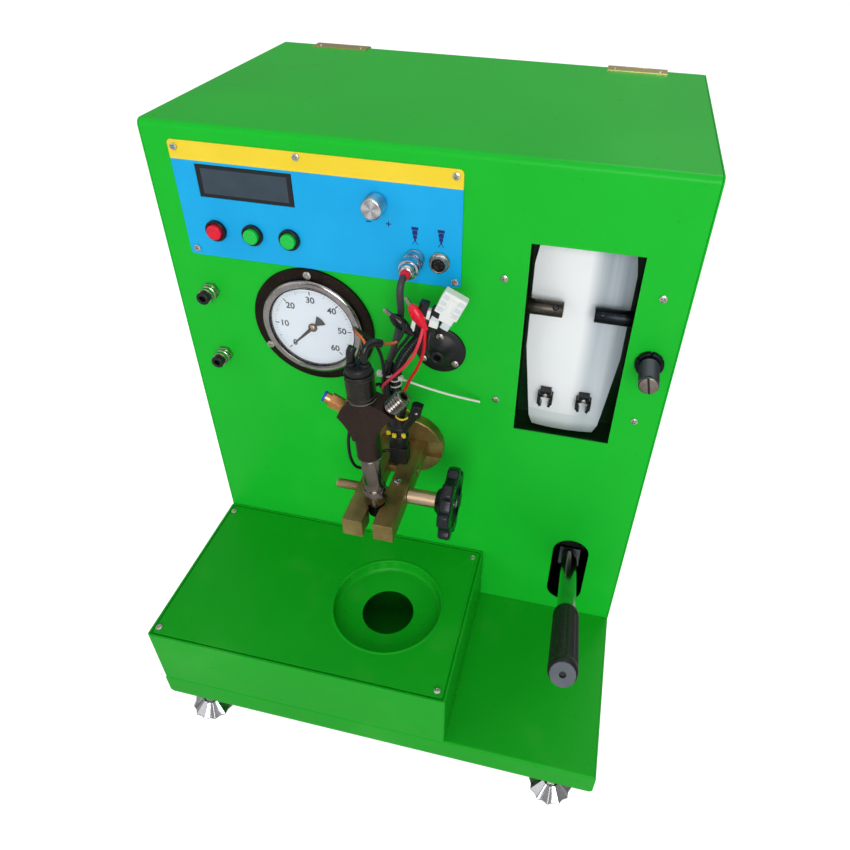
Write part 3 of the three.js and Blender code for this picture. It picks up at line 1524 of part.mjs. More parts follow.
function cablePlug() {
  const insertEnd = socketReach - socketBoreDepth + fit;
  const stop = socketReach + fit;
  const ringEnd = plugStart + plugRingLength;
  return mesh('cable_plug', turnOut([
    [0, insertEnd], [plugInsertRadius, insertEnd], [plugInsertRadius, stop],
    [socketRadius + fit, stop], [socketRadius + fit, plugStart], [plugRingRadius, plugStart],
    [plugRingRadius, ringEnd], [plugRadius, ringEnd], [plugRadius, plugReach],
    [plugNoseRadius, plugReach], [plugNoseRadius, plugEnd], [0, plugEnd],
  ], driverSocketX, socketZ, smallSides), 'nickel');
}

const cableRoute = [
  [driverSocketX, -plugEnd - fit, socketZ], [driverSocketX, -plugEnd - plugCableRadius, socketZ],
  [252.7, -46, 498.5], [252.4, -48.5, 492], [252, -47.5, 482], [251, -43, 471], [249, -38.5, 460],
  [246.5, -36.5, 448], [244, -36.5, 436], [241, -38, 424], [238, -41, 412],
];
const loomRoute = [
  [272, -45, 452], [266, -45, 443], [259, -45, 433], [253, -45, 423], [249, -45, 414],
  [246, -45, 404], [244.5, -45, 394], [244.5, -45, 383], [245.2, -45, 372], [246, -45, 361],
  [246, -45, 350],
];
const redLeadRoute = [
  [275, -50, 461], [275.5, -52.5, 452], [275, -54, 440], [272, -54, 428], [268, -53.5, 417],
  [262.5, -53, 406], [258, -53, 396], [255, -52, 386], [254, -50, 377],
];
const blackLeadRoute = [
  [262, -50, 453], [258, -51.5, 446], [250, -52, 434], [243, -52, 420], [238.5, -52, 408],
  [236, -51, 397], [235.5, -50, 387], [236, -49, 378],
];
const connectorRoute = [
  [291, -46, 470], [287.5, -47, 465], [283.5, -48, 460], [280, -50, 455], [279, -53, 448],
  [279, -54, 440],
];
const loopRoute = [
  [injectorPlugX - injectorPlugWidth / 2 - fit, -47, 302],
  [injectorPlugX - injectorPlugWidth / 2 - fit - 2 * leadRadius, -47, 302],
  [228, -50.5, 302], [225, -60, 302.5], [223, -73, 304], [219.5, -84, 308], [215, -91.5, 316],
  [212.5, -95, 328], [211.5, -96, 340], [211.5, -95, 353], [213, -91, 366], [216, -83, 378],
  [221, -73, 388], [227, -62, 394], [231, -55, 393.5], [232.6, -52.4, 388],
];

function plugCable() {
  return mesh('plug_cable', tube(cableRoute, plugCableRadius, 8, 14), 'rubber');
}

function harnessLoom() {
  return mesh('harness_bundle', tube(loomRoute, loomRadius, 10, 10), 'rubber');
}

// A spring clip on the end of a lead: a boot and two closed jaws
function clipOnLead(name, route, tip, finish) {
  const from = new THREE.Vector3(...route[0]);
  const to = new THREE.Vector3(...tip);
  const aim = to.clone().sub(from).normalize();
  const turn = new THREE.Quaternion().setFromUnitVectors(Z, aim);
  const length = clipBodyLength + clipTipLength;
  const boot = lathe([
    [0, -overrun / 2], [clipBodyRadius - clipTipRadius, -overrun / 2], [clipBodyRadius, overrun],
    [clipBodyRadius, clipBodyLength - overrun], [clipMouthRadius, clipBodyLength],
    [clipTipRadius, length], [0, length],
  ], 10).applyMatrix4(sectionXZ);
  boot.applyQuaternion(turn);
  boot.translate(from.x, from.y, from.z);
  return mesh(name, joined(tube(route, leadRadius, 8, 12), solid(boot)), finish);
}

function connectorLead() {
  const [x, y, z] = connectorRoute[0];
  const box = new THREE.BoxGeometry(connectorWidth, connectorThickness, connectorHeight);
  box.rotateY(connectorTurn);
  const lift = connectorHeight / 2;
  box.translate(x + Math.sin(connectorTurn) * lift, y, z + Math.cos(connectorTurn) * lift);
  return mesh('connector_lead_white', joined(solid(box), tube(connectorRoute, leadRadius, 8, 8)),
    'whitePlastic');
}

function injectorPlug() {
  const base = jawTop + fit;
  const half = injectorPlugWidth / 2;
  const body = runZ(rounded(injectorPlugX - half, injectorPlugY - injectorPlugDepth / 2,
    injectorPlugX + half, injectorPlugY + injectorPlugDepth / 2, trayCorner), base,
  base + injectorPlugHeight, 3);
  const top = loomRoute[loomRoute.length - 1][2] - fit;
  const neck = rodUp(loomRadius + sheet, injectorPlugX, injectorPlugY, base, top);
  return mesh('injector_plug', joined(body, neck), 'blackPlastic');
}

function loopWire() {
  return mesh('loop_wire', tube(loopRoute, leadRadius, 8, 18), 'rubber');
}

// Assembly
const machine = new THREE.Group();
machine.add(
  basePan(), frontShell(), sidePanel('side_panel_left', false), sidePanel('side_panel_right', true),
  rearDoor(), trayBox(), trayLid(), labelPlate(), lcdWindow(), controllerHousing(), adjustKnob(),
  buttonRing('button_ring_red', redButtonX), buttonRing('button_ring_green', greenButtonX),
  buttonRing('button_ring_test', testButtonX), buttonCap('button_cap_red', redButtonX, 'redPlastic'),
  buttonCap('button_cap_green', greenButtonX, 'greenPlastic'),
  buttonCap('button_cap_test', testButtonX, 'greenPlastic'),
  socket('socket_spare', spareSocketX), socket('socket_driver', driverSocketX),
  gaugeCase(), gaugeBezel(), gaugeDial(), gaugePointer(), gaugeGlass(), outletHood(),
  coupling('coupling_upper', upperCouplingZ), coupling('coupling_lower', lowerCouplingZ),
  valveBody(), valveSpindle(), sprayChamber(), backPlate(), ...spouts(),
  pumpBody(), pumpPiston(), leverGroup(), oilTank(), pressurePipe(),
  clampBoss(), fixedJaw(), movingJaw(), clampSpindle(), handwheel(), injectorGroup(),
  ...footPlaces.map((place, i) => foot(`foot_${footNames[i]}`, place)),
);
machine.updateMatrixWorld(true);

// The origin is the middle of the machine's footprint, on the surface that it stands on
const extent = new THREE.Box3().setFromObject(machine, true);

machine.add(
  cablePlug(), plugCable(), harnessLoom(), injectorPlug(), loopWire(), connectorLead(),
  clipOnLead('test_clip_black', blackLeadRoute, blackClipTip, 'blackPlastic'),
  clipOnLead('test_clip_red', redLeadRoute, redClipTip, 'redPlastic'),
);
machine.position.set(-(extent.min.x + extent.max.x) / 2, -(extent.min.y + extent.max.y) / 2,
  -extent.min.z);

const tester = new THREE.Group();
tester.add(machine);

export default tester;
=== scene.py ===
# %% [markdown]
# This lesson dresses a bench tester for diesel injectors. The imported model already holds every
# working piece at its real size, so the script only gives the pieces their finishes and
# adds what a workshop eye looks for: screws, dial print, wiring, threads and wear.

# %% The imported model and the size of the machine
import math
import random

import bpy
from mathutils import Matrix, Vector, noise


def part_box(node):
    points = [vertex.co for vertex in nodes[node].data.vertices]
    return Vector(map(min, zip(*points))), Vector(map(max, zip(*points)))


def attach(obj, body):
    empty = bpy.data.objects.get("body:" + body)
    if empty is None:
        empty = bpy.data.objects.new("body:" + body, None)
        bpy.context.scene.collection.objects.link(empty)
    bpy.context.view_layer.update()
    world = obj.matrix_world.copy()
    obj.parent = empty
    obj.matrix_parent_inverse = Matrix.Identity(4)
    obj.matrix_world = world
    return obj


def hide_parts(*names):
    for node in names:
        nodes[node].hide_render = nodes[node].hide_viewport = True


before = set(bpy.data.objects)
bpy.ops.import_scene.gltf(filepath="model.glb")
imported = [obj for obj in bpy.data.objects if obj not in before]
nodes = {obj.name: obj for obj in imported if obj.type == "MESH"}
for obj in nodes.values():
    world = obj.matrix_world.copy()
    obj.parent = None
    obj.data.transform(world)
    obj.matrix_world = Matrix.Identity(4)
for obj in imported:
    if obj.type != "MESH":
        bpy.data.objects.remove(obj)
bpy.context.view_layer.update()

print("pieces in the packed model:", len(nodes))

# %% [markdown]
# Sizes are easiest to read in millimetres from the cabinet's lower left front corner, the way a
# drawing gives them. One helper turns such a place into the metres and the origin of the model.

# %% From drawing millimetres to the model's metres
MM = 0.001
DECK_DEPTH = 203
pan_low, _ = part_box("base_pan")
ORIGIN = Vector((pan_low.x, pan_low.y + DECK_DEPTH * MM, pan_low.z))


def place(x, y, z):
    return ORIGIN + Vector((x, y, z)) * MM


def rotated(degrees, axis):
    return Matrix.Rotation(math.radians(degrees), 4, axis)


UP = Matrix.Identity(4)
OUT, REAR = rotated(90, "X"), rotated(-90, "X")
RIGHT, LEFT = rotated(90, "Y"), rotated(-90, "Y")


def at(x, y, z, turn=UP):
    return Matrix.Translation(place(x, y, z)) @ turn


def shift(x, y, z, turn=UP):
    return Matrix.Translation((x, y, z)) @ turn


def polar(radius, degrees):
    return radius * math.cos(math.radians(degrees)), radius * math.sin(math.radians(degrees))


HOME = at(0, 0, 0)
print("drawing origin in metres:", tuple(round(v, 4) for v in ORIGIN))

# %% [markdown]
# The camera stands where the photographer stood: a little to the right, looking down at about
# forty degrees. Its lens is shifted slightly, because the photograph was cropped off its centre.

# %% Camera
AZIMUTH, ELEVATION, ROLL = (math.radians(angle) for angle in (11.835, 39.017, 1.706))
EYE = (412.0, -559.7, 793.6)
FOCAL_PIXELS, PICTURE_PIXELS, CENTRE_PIXELS = 699.71, 850, (455.91, 410.97)

back = Vector((math.sin(AZIMUTH) * math.cos(ELEVATION),
               -math.cos(AZIMUTH) * math.cos(ELEVATION), math.sin(ELEVATION)))
across = (-back).cross(Vector((0, 0, 1))).normalized()
above = across.cross(-back)
side = math.cos(ROLL) * across + math.sin(ROLL) * above
top = -math.sin(ROLL) * across + math.cos(ROLL) * above


def linked(name, data):
    made = bpy.data.objects.new(name, data)
    bpy.context.scene.collection.objects.link(made)
    return made


lens = bpy.data.cameras.new("camera")
lens.sensor_width = 36
lens.lens = lens.sensor_width * FOCAL_PIXELS / PICTURE_PIXELS
lens.shift_x = (PICTURE_PIXELS / 2 - CENTRE_PIXELS[0]) / PICTURE_PIXELS
lens.shift_y = (CENTRE_PIXELS[1] - PICTURE_PIXELS / 2) / PICTURE_PIXELS
lens.clip_start, lens.clip_end = 0.01, 20
camera = linked("camera", lens)
camera.matrix_world = at(*EYE, Matrix((side, top, back)).transposed().to_4x4())
bpy.context.scene.camera = camera
print("lens", round(lens.lens, 2), "mm, shift", round(lens.shift_x, 4), round(lens.shift_y, 4))

# %% [markdown]
# A finish is a small network of shader nodes. Written node by node it is hard to read, so one
# class wraps a socket and lets plain sums, products and comparisons add the Math nodes.

# %% Shader sums
class Wire:
    """A socket of a finish. Sums and products of wires add the nodes that work them out."""

    def __init__(self, tree, socket=None):
        self.tree, self.socket = tree, socket

    def node(self, kind, settings=None, inputs=None, output=0):
        made = self.tree.nodes.new("ShaderNode" + kind)
        for name, value in (settings or {}).items():
            if name == "stops":
                ramp = made.color_ramp.elements
                while len(ramp) < len(value):
                    ramp.new(0.5)
                for element, (position, colour) in zip(ramp, value):
                    element.position, element.color = position, colour
            else:
                setattr(made, name, value)
        for name, value in (inputs or {}).items():
            if isinstance(value, Wire):
                self.tree.links.new(value.socket, made.inputs[name])
            else:
                made.inputs[name].default_value = value
        return Wire(self.tree, made.outputs[output])

    def sum(self, operation, *values):
        return self.node("Math", {"operation": operation}, dict(enumerate(values)))

    __add__ = __radd__ = lambda self, other: self.sum("ADD", self, other)
    __sub__ = lambda self, other: self.sum("SUBTRACT", self, other)
    __rsub__ = lambda self, other: self.sum("SUBTRACT", other, self)
    __mul__ = __rmul__ = lambda self, other: self.sum("MULTIPLY", self, other)
    __truediv__ = lambda self, other: self.sum("DIVIDE", self, other)
    __gt__ = lambda self, other: self.sum("GREATER_THAN", self, other)
    __lt__ = lambda self, other: self.sum("LESS_THAN", self, other)


def paint(red, green, blue):
    """A colour from 0 to 255 as a paint chart gives it, turned into the shader's linear one."""
    def linear(value):
        share = value / 255
        return share / 12.92 if share <= 0.04045 else ((share + 0.055) / 1.055) ** 2.4
    return (linear(red), linear(green), linear(blue), 1.0)


def tinted(colour, factor, lift=0.0):
    return tuple(min(1.0, c * factor + lift) for c in colour[:3]) + (1.0,)


class Finish:
    """A material with its main shader, the piece's own coordinates and a few noises on them."""

    def __init__(self, name, colour, roughness, metallic=0.0, **sockets):
        self.material = bpy.data.materials.new(name)
        self.material.use_nodes = True
        self.material.diffuse_color = colour
        self.shader = self.material.node_tree.nodes["Principled BSDF"]
        self.wire = Wire(self.material.node_tree)
        self.set("Base Color", colour)
        self.set("Roughness", roughness)
        self.set("Metallic", metallic)
        for socket, value in sockets.items():
            self.set(socket.replace("_", " "), value)
        self.spot = self.wire.node("TexCoord", output="Object")

    def set(self, socket, value):
        if isinstance(value, Wire):
            self.wire.tree.links.new(value.socket, self.shader.inputs[socket])
        else:
            self.shader.inputs[socket].default_value = value

    def along(self, axis):
        return self.wire.node("SeparateXYZ", inputs={"Vector": self.spot}, output=axis)

    def cloud(self, scale, detail=4.0, stretch=None):
        where = self.spot
        if stretch:
            where = self.wire.node("VectorMath", {"operation": "MULTIPLY"}, {0: where, 1: stretch})
        return self.wire.node("TexNoise",
                              inputs={"Vector": where, "Scale": scale, "Detail": detail})

    def clamped(self, value, low, high):
        """0 below low, 1 above high, and a straight rise between."""
        return self.wire.node("MapRange", {"clamp": True},
                              {"Value": value, "From Min": low, "From Max": high})

    def mixed(self, share, first, second):
        return self.wire.node("Mix", {"data_type": "RGBA"}, {0: share, 6: first, 7: second},
                              output=2)

    def done(self, colour, roughness, relief=None, metallic=None):
        """Joins the worked-out values to the shader; relief is a height, a depth and a strength."""
        self.set("Base Color", colour)
        self.set("Roughness", roughness)
        if metallic:
            self.set("Metallic", metallic)
        if relief:
            names = ("Height", "Distance", "Strength")
            self.set("Normal", self.wire.node("Bump", inputs=dict(zip(names, relief))))
        return self.material


print("shader helpers ready")

# %% [markdown]
# The cabinet is folded sheet steel with a bright green powder coat. Such a coat is smooth to
# the touch but shows a fine orange-peel skin in a highlight, a little uneven gloss where hands and
# cloths have been, and small dark rubs where tools were laid down. All three come from noises.
# The hinge leaves at the top of the back belong to the same pieces and are yellow zinc.

# %% Powder coat for the cabinet, the base and the tray
CABINET_WIDTH, CABINET_REAR, CABINET_TOP = 500, 321.5, 600.5
GREEN = paint(20, 188, 44)


def powder_coat(name, colour, dust, rubs, zinc_beyond=None):
    """Zinc starts behind the first and above the second of the two places in zinc_beyond."""
    coat = Finish(name, colour, 0.36, Specular_IOR_Level=0.14)
    broad = coat.cloud(7, 3)
    speck = coat.clamped(coat.cloud(160, 2), 0.7, 0.78)
    patch = coat.clamped(coat.cloud(14, 4), 0.56, 0.76)
    tone = coat.mixed(broad, tinted(colour, 0.9), tinted(colour, 1.1, 0.003))
    tone = coat.mixed(patch * dust, tone, paint(120, 190, 110))
    tone = coat.mixed(speck * rubs, tone, paint(30, 92, 34))
    gloss = 0.3 + broad * 0.1 + patch * dust * 0.8 + speck * rubs * 0.2
    skin = (coat.cloud(520, 2) * 0.7 + coat.cloud(90, 2) * 0.3, 0.00025, 0.35)
    if not zinc_beyond:
        return coat.done(tone, gloss, skin)
    rear, height = zinc_beyond
    leaf = coat.wire.sum("MAXIMUM", coat.along(2) > place(0, 0, height).z,
                         coat.along(1) > place(0, rear, 0).y)
    grain = coat.cloud(900, 2, (1, 0.08, 1))
    zinc = coat.mixed(grain, paint(214, 190, 104), paint(172, 168, 132))
    gloss = coat.wire.node("Mix", inputs={0: leaf, 2: gloss, 3: 0.34}, output=0)
    return coat.done(coat.mixed(leaf, tone, zinc), gloss, skin, leaf * 0.95)


cabinet_paint = powder_coat("cabinet_green_paint", GREEN, 0.03, 0.25,
                            (CABINET_REAR + 0.4, CABINET_TOP + 0.2))
door_paint = powder_coat("door_green_paint", GREEN, 0.03, 0.25,
                         (CABINET_REAR + 2.2, CABINET_TOP + 8))
tray_paint = powder_coat("tray_green_paint", paint(14, 166, 28), 0.1, 0.35)
print("painted finishes:", cabinet_paint.name, door_paint.name, tray_paint.name)

# %% [markdown]
# The spray chamber behind the window is painted the same green, but it is coated with oil mist and
# sees little light, so its colour is set nearly black, partly for the oil and partly as painted
# shade, and it shines unevenly.

# %% Oily dark paint with painted shade inside the spray chamber
# The near-black green is partly oil and partly painted shade.
OILED_AND_SHADED_GREEN = paint(14, 66, 26)
oil = Finish("chamber_oily_shaded_green", OILED_AND_SHADED_GREEN, 0.4)
drip = oil.cloud(30, 4, (1, 1, 0.2))
chamber_paint = oil.done(oil.mixed(drip, OILED_AND_SHADED_GREEN, tinted(OILED_AND_SHADED_GREEN, 0.45)), 0.22 + drip * 0.3,
                         (drip, 0.0005, 0.3))

# %% [markdown]
# Bright parts are of several kinds. Plating is mirror smooth with faint smears, turned steel has
# rings from the lathe, and burnished steel is almost black with worn, brighter spots. One recipe
# with different numbers covers them; the rings come from a noise squeezed along the piece. A
# second recipe without any grain is for the smooth metals at the clamp.

# %% Plated, turned, burnished and polished metal
def metal(name, colour, roughness, worn=None, grain=None, stain=0.25):
    bare = Finish(name, colour, roughness, 1.0)
    smear, fine = bare.cloud(45, 4), bare.cloud(400, 3, grain)
    tone = bare.mixed(bare.clamped(smear, 0.35, 0.7), tinted(colour, 1 - stain), colour)
    tone = bare.mixed(bare.clamped(fine, 0.52, 0.8), tone, worn or tinted(colour, 1.25))
    return bare.done(tone, smear * 0.1 + fine * 0.08 + (roughness - 0.08), (fine, 0.00002, 0.3))


def polished(name, dark, light, oily_below=None, satin=0.16):
    """Smooth turned metal; what lies below a given height is dark with oil."""
    steel = Finish(name, light, 0.24, 1.0)
    smear = steel.cloud(45, 4)
    tone, rough = steel.mixed(smear, dark, light), smear * 0.12 + satin
    if oily_below is not None:
        oil_and_shade = steel.clamped(steel.along(2), (oily_below + 1.5) * MM, (oily_below - 1.5) * MM)
        tone, rough = steel.mixed(oil_and_shade, tone, paint(24, 22, 20)), rough + oil_and_shade * 0.3
    return steel.done(tone, rough)


chrome = metal("chrome_plate", paint(198, 198, 202), 0.14, stain=0.14)
bezel_chrome = metal("bezel_chrome", paint(176, 170, 168), 0.12, stain=0.3)
nickel = metal("nickel_plate", paint(196, 190, 178), 0.24)
turned_steel = metal("turned_steel", paint(158, 156, 150), 0.3, grain=(1, 1, 9), stain=0.35)
oily_steel = metal("oily_dark_steel", paint(30, 31, 33), 0.42, stain=0.3)
black_steel = metal("blacked_steel", paint(48, 40, 36), 0.42, paint(60, 52, 46))
zinc_screw = metal("zinc_screw", paint(206, 204, 196), 0.3, stain=0.15)
copper = metal("copper_wire", paint(232, 116, 76), 0.4)
hub_bronze = metal("hub_bronze", paint(176, 140, 118), 0.3)
fitting_copper = metal("return_fitting_copper", paint(208, 150, 96), 0.28)
worn_pipe = metal("worn_spout_steel", paint(84, 78, 72), 0.36, stain=0.3)
dark_pipe = metal("dark_spout_steel", paint(40, 44, 50), 0.36, stain=0.2)
coil_skin = metal("coil_nut_steel", paint(66, 64, 60), 0.34, paint(74, 72, 68))
injector_skin = metal("injector_blacked_steel", paint(70, 56, 52), 0.4, paint(76, 62, 58),
                      stain=0.15)
rod_chrome = metal("lever_rod_chrome", paint(176, 178, 178), 0.12, stain=0.2)
warm_nickel = polished("warm_nickel_plate", paint(172, 146, 118), paint(214, 190, 160), satin=0.32)
stud_steel = polished("stud_steel", paint(84, 80, 76), paint(150, 145, 138))
nut_steel = polished("nozzle_nut_steel", paint(86, 78, 72), paint(142, 132, 123), 0)

# %% [markdown]
# The clamp's boss and jaws carry a yellow zinc plate that has gone olive and brown with
# handling. Broad clouds move the colour between straw, olive and brown, and long scratches run
# along the bars where injectors were slid in and out.

# %% Handled yellow zinc on the clamp
plate = Finish("handled_yellow_zinc", paint(150, 124, 62), 0.4, 0.8)
broad = plate.cloud(38, 5)
scratch = plate.clamped(plate.cloud(260, 3, (1, 0.05, 1)), 0.6, 0.72)
tone = plate.wire.node("ValToRGB", {"stops": [(0.3, paint(116, 94, 60)), (0.5, paint(142, 120, 72)),
                                              (0.72, paint(164, 146, 92))]}, {"Fac": broad})
clamp_plate = plate.done(plate.mixed(scratch * 0.25, tone, paint(204, 190, 150)),
                         0.3 + broad * 0.22, (plate.cloud(420, 3, (1, 0.15, 1)), 0.00008, 0.5))

# %% [markdown]
# Plastics differ by their gloss and by how light enters them. Moulded housings are matte with a
# fine spark-eroded grain, button caps are glossy, and the oil tank is milky, so a little of the
# light is let in under its surface.

# %% Moulded plastics and rubber
def plastic(name, colour, roughness, grain=700, depth=0.00008, milky=0.0, dust=0.06):
    skin = Finish(name, colour, roughness, Subsurface_Weight=milky, Specular_IOR_Level=0.35)
    if milky:
        skin.set("Subsurface Radius", (0.004, 0.004, 0.003))
    wipe = skin.cloud(35, 4)
    tone = skin.mixed(skin.clamped(wipe, 0.45, 0.8) * dust, colour, tinted(colour, 0.85, 0.08))
    return skin.done(tone, wipe * 0.16 + (roughness - 0.08), (skin.cloud(grain, 2), depth, 0.4))


black_plastic = plastic("black_moulding", paint(19, 20, 22), 0.42)
gloss_black = plastic("gloss_black_moulding", paint(20, 20, 22), 0.24, depth=0.00003)
wheel_black = plastic("handwheel_black", paint(10, 15, 23), 0.3)
red_plastic = plastic("red_moulding", paint(226, 24, 50), 0.28, depth=0.00002, dust=0.02)
green_plastic = plastic("green_moulding", paint(24, 200, 72), 0.28, depth=0.00002, dust=0.02)
white_plastic = plastic("white_moulding", paint(232, 234, 232), 0.34, depth=0.00003, dust=0.0)
grey_plastic = plastic("connector_grey", paint(208, 216, 218), 0.4, dust=0.0)
tank_plastic = plastic("milky_tank", paint(226, 222, 204), 0.4, milky=0.3)
grip_rubber = plastic("grip_rubber", paint(12, 14, 12), 0.5, 900, 0.00012, dust=0.04)
cable_skin = plastic("cable_jacket", paint(22, 22, 25), 0.3, 900, 0.00002, dust=0.12)
grey_cable = plastic("grey_cable_jacket", paint(58, 58, 62), 0.48, 900, dust=0.12)
red_wire = plastic("red_wire", paint(206, 20, 34), 0.38, dust=0.04)
pink_wire = plastic("pink_red_wire", paint(226, 60, 78), 0.38, dust=0.04)
black_wire = plastic("black_wire", paint(22, 22, 24), 0.36, dust=0.04)
blue_plastic = plastic("blue_moulding", paint(28, 80, 190), 0.32, dust=0.02)
yellow_plastic = plastic("yellow_moulding", paint(228, 200, 36), 0.36, dust=0.02)
tie_nylon = plastic("white_nylon", paint(222, 224, 214), 0.36, milky=0.15, dust=0.0)
dial_ink = plastic("dial_ink", paint(16, 16, 20), 0.5, dust=0.0)
navy_ink = plastic("navy_ink", paint(22, 30, 110), 0.5, dust=0.0)

# %% [markdown]
# The driver's label is a printed film: a yellow band on top, sky blue below. The real one names
# the machine and its maker; here both fields stay bare. The band is drawn by height alone, so it
# stays put when the piece is seen from any side.

# %% Two-colour film of the driver's label
LABEL_BAND_Z = 569
film = Finish("label_film", paint(0, 172, 236), 0.34, Specular_IOR_Level=0.25)
cloud = film.cloud(18, 3)
label_print = film.done(film.mixed(film.along(2) > place(0, 0, LABEL_BAND_Z).z,
                                   film.mixed(cloud, paint(6, 160, 226), paint(22, 184, 244)),
                                   film.mixed(cloud, paint(240, 206, 34), paint(252, 224, 66))),
                        0.26 + cloud * 0.14, (film.cloud(300, 2), 0.0001, 0.25))

# %% [markdown]
# The display is off: a dark pane with a paler field behind a glossy cover. The gauge has a cool
# white dial under real glass, and glass needs a true transmission so that the dial stays readable.

# %% Display, dial and glass
pane = Finish("display_off", paint(46, 58, 66), 0.1, Specular_IOR_Level=0.4)
low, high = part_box("lcd_window")
middle, half = (low + high) / 2, (high - low) / 2
wide, tall = (pane.wire.sum("ABSOLUTE", pane.along(axis) - middle[axis]) / half[axis]
              for axis in (0, 2))
field = pane.mixed(pane.cloud(60, 3), paint(44, 58, 70), paint(60, 76, 88))
display_glass = pane.done(pane.mixed((wide < 0.9) * (tall < 0.78), paint(16, 20, 28), field),
                          0.05 + pane.cloud(30, 3) * 0.08)

dial = Finish("dial_enamel", paint(226, 232, 240), 0.4)
dial_enamel = dial.done(dial.mixed(dial.cloud(24, 3), paint(218, 226, 236), paint(232, 236, 242)),
                        0.34 + dial.cloud(200, 2) * 0.1)

CLEAR = (0.97, 0.985, 0.99, 1)
cover = Finish("gauge_cover_glass", CLEAR, 0.02, IOR=1.45, Transmission_Weight=1.0)
gauge_glass = cover.done(CLEAR, cover.clamped(cover.cloud(30, 4), 0.4, 0.8) * 0.03 + 0.008)
print("finishes made so far:", len(bpy.data.materials))

# %% [markdown]
# Computer drawings have knife edges, and real pieces never do. A bevel of a few tenths of a
# millimetre catches a line of light along each edge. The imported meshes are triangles, so they are
# welded and merged into larger faces first, and weighted normals keep the flats flat. Sheets with
# many holes keep their triangles, because merging tears them.

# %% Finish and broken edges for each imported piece
FLAT_AND_HOLED = ("tray_lid", "rear_door")
WELD_REACH, FLAT_ANGLE, EDGE_ANGLE = 0.000005, math.radians(1), math.radians(32)


def dressed(node, material, edge=0.5, steps=2):
    piece = nodes[node]
    piece.data.materials.clear()
    piece.data.materials.append(material)
    piece.data.polygons.foreach_set("use_smooth", [True] * len(piece.data.polygons))
    for old in list(piece.modifiers):
        piece.modifiers.remove(old)
    piece.modifiers.new("weld", "WELD").merge_threshold = WELD_REACH
    if node not in FLAT_AND_HOLED:
        merge = piece.modifiers.new("merge_flats", "DECIMATE")
        merge.decimate_type, merge.angle_limit = "DISSOLVE", FLAT_ANGLE
    if edge and node not in FLAT_AND_HOLED:
        bevel = piece.modifiers.new("broken_edge", "BEVEL")
        bevel.limit_method, bevel.angle_limit = "ANGLE", EDGE_ANGLE
        bevel.width, bevel.segments, bevel.use_clamp_overlap = edge * MM, steps, True
        bevel.miter_outer = "MITER_ARC"
    piece.modifiers.new("normals", "WEIGHTED_NORMAL").keep_sharp = True


FINISHES = [
    (cabinet_paint, 0.5, "front_shell side_panel_left side_panel_right"),
    (door_paint, 0.5, "rear_door"), (tray_paint, 0.8, "base_pan"), (tray_paint, 0.6, "tray_box"),
    (tray_paint, 0.5, "tray_lid"), (chamber_paint, 0.4, "spray_chamber"),
    (label_print, 0.25, "label_plate"), (display_glass, 0.3, "lcd_window"),
    (black_plastic, 0.5, "controller_housing outlet_hood injector_plug gauge_pointer"),
    (black_plastic, 0.3, "button_ring_red button_ring_green button_ring_test"),
    (gloss_black, 0.8, "handwheel"), (red_plastic, 0.5, "button_cap_red"),
    (green_plastic, 0.5, "button_cap_green button_cap_test"),
    (chrome, 0.4, "gauge_bezel adjust_knob clamp_spindle"),
    (chrome, 0.25, "foot_front_left foot_front_right foot_rear_left foot_rear_right"),
    (nickel, 0.3, "socket_spare socket_driver cable_plug coupling_upper coupling_lower"),
    (oily_steel, 0.6, "pump_body"), (oily_steel, 0.4, "pump_piston"),
    (turned_steel, 0, "pressure_pipe"), (turned_steel, 0.4, "nozzle_nut valve_spindle"),
    (injector_skin, 0.4, "solenoid_nut"),
    (black_steel, 0.4, "gauge_case valve_body spout_left spout_right"),
    (clamp_plate, 0.6, "clamp_boss"), (clamp_plate, 0.5, "fixed_jaw moving_jaw"),
    (fitting_copper, 0.4, "return_fitting"), (tank_plastic, 1.5, "oil_tank"),
    (grip_rubber, 0.5, "lever_grip"), (dial_enamel, 0, "gauge_dial"),
    (gauge_glass, 0, "gauge_glass")]
for material, edge, names in FINISHES:
    for node in names.split():
        dressed(node, material, edge)
dressed("injector_body", injector_skin, 0.8, 3)
print("packed pieces dressed:", sum(len(names.split()) for _, _, names in FINISHES) + 1)

# %% [markdown]
# Most added pieces are turned, swept or stamped. Turned pieces come from a profile of radius and
# height, swept ones carry a round section along a route, and both are written as plain rings of
# points joined by faces, which gives full control of ribs and threads.

# %% Pieces from rings of points
def piece_from(name, form, material, slot, matrix=HOME, body="cabinet", sharp=40, replaced=None):
    """A named piece in metres; its form is points in millimetres and the faces that join them."""
    points, faces = form
    shape = bpy.data.meshes.new(name)
    shape.from_pydata([Vector(p) * MM for p in points], [], faces)
    shape.update()
    shape.validate()
    shape.materials.append(material)
    made = linked(name, shape)
    made.matrix_world = matrix
    bpy.context.view_layer.objects.active = made
    shape.shade_smooth()
    shape.set_sharp_from_angle(angle=math.radians(sharp))
    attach(made, body)
    if replaced:
        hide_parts(replaced)
    return made


def ring_faces(first, second, count):
    return [(first + i, first + (i + 1) % count, second + (i + 1) % count, second + i)
            for i in range(count)]


def turned_rings(profile, sides, reshape=None):
    """Rings of a turned form; a radius of zero becomes one point in the middle."""
    points, faces, before, last = [], [], 0, 0
    for radius, height in profile:
        start, count = len(points), sides if radius > 0 else 1
        for i in range(count):
            turn = 2 * math.pi * i / sides
            r = reshape(radius, height, turn) if reshape and radius > 0 else radius
            points.append((r * math.cos(turn), r * math.sin(turn), height))
        if last == count == sides:
            faces += ring_faces(before, start, sides)
        elif last == 1 and count == sides:
            faces += [(before, start + (i + 1) % sides, start + i) for i in range(sides)]
        elif last == sides and count == 1:
            faces += [(before + i, before + (i + 1) % sides, start) for i in range(sides)]
        before, last = start, count
    return points, faces


def turned(name, profile, material, slot, matrix, sides=64, reshape=None, **more):
    return piece_from(name, turned_rings(profile, sides, reshape), material, slot, matrix, **more)


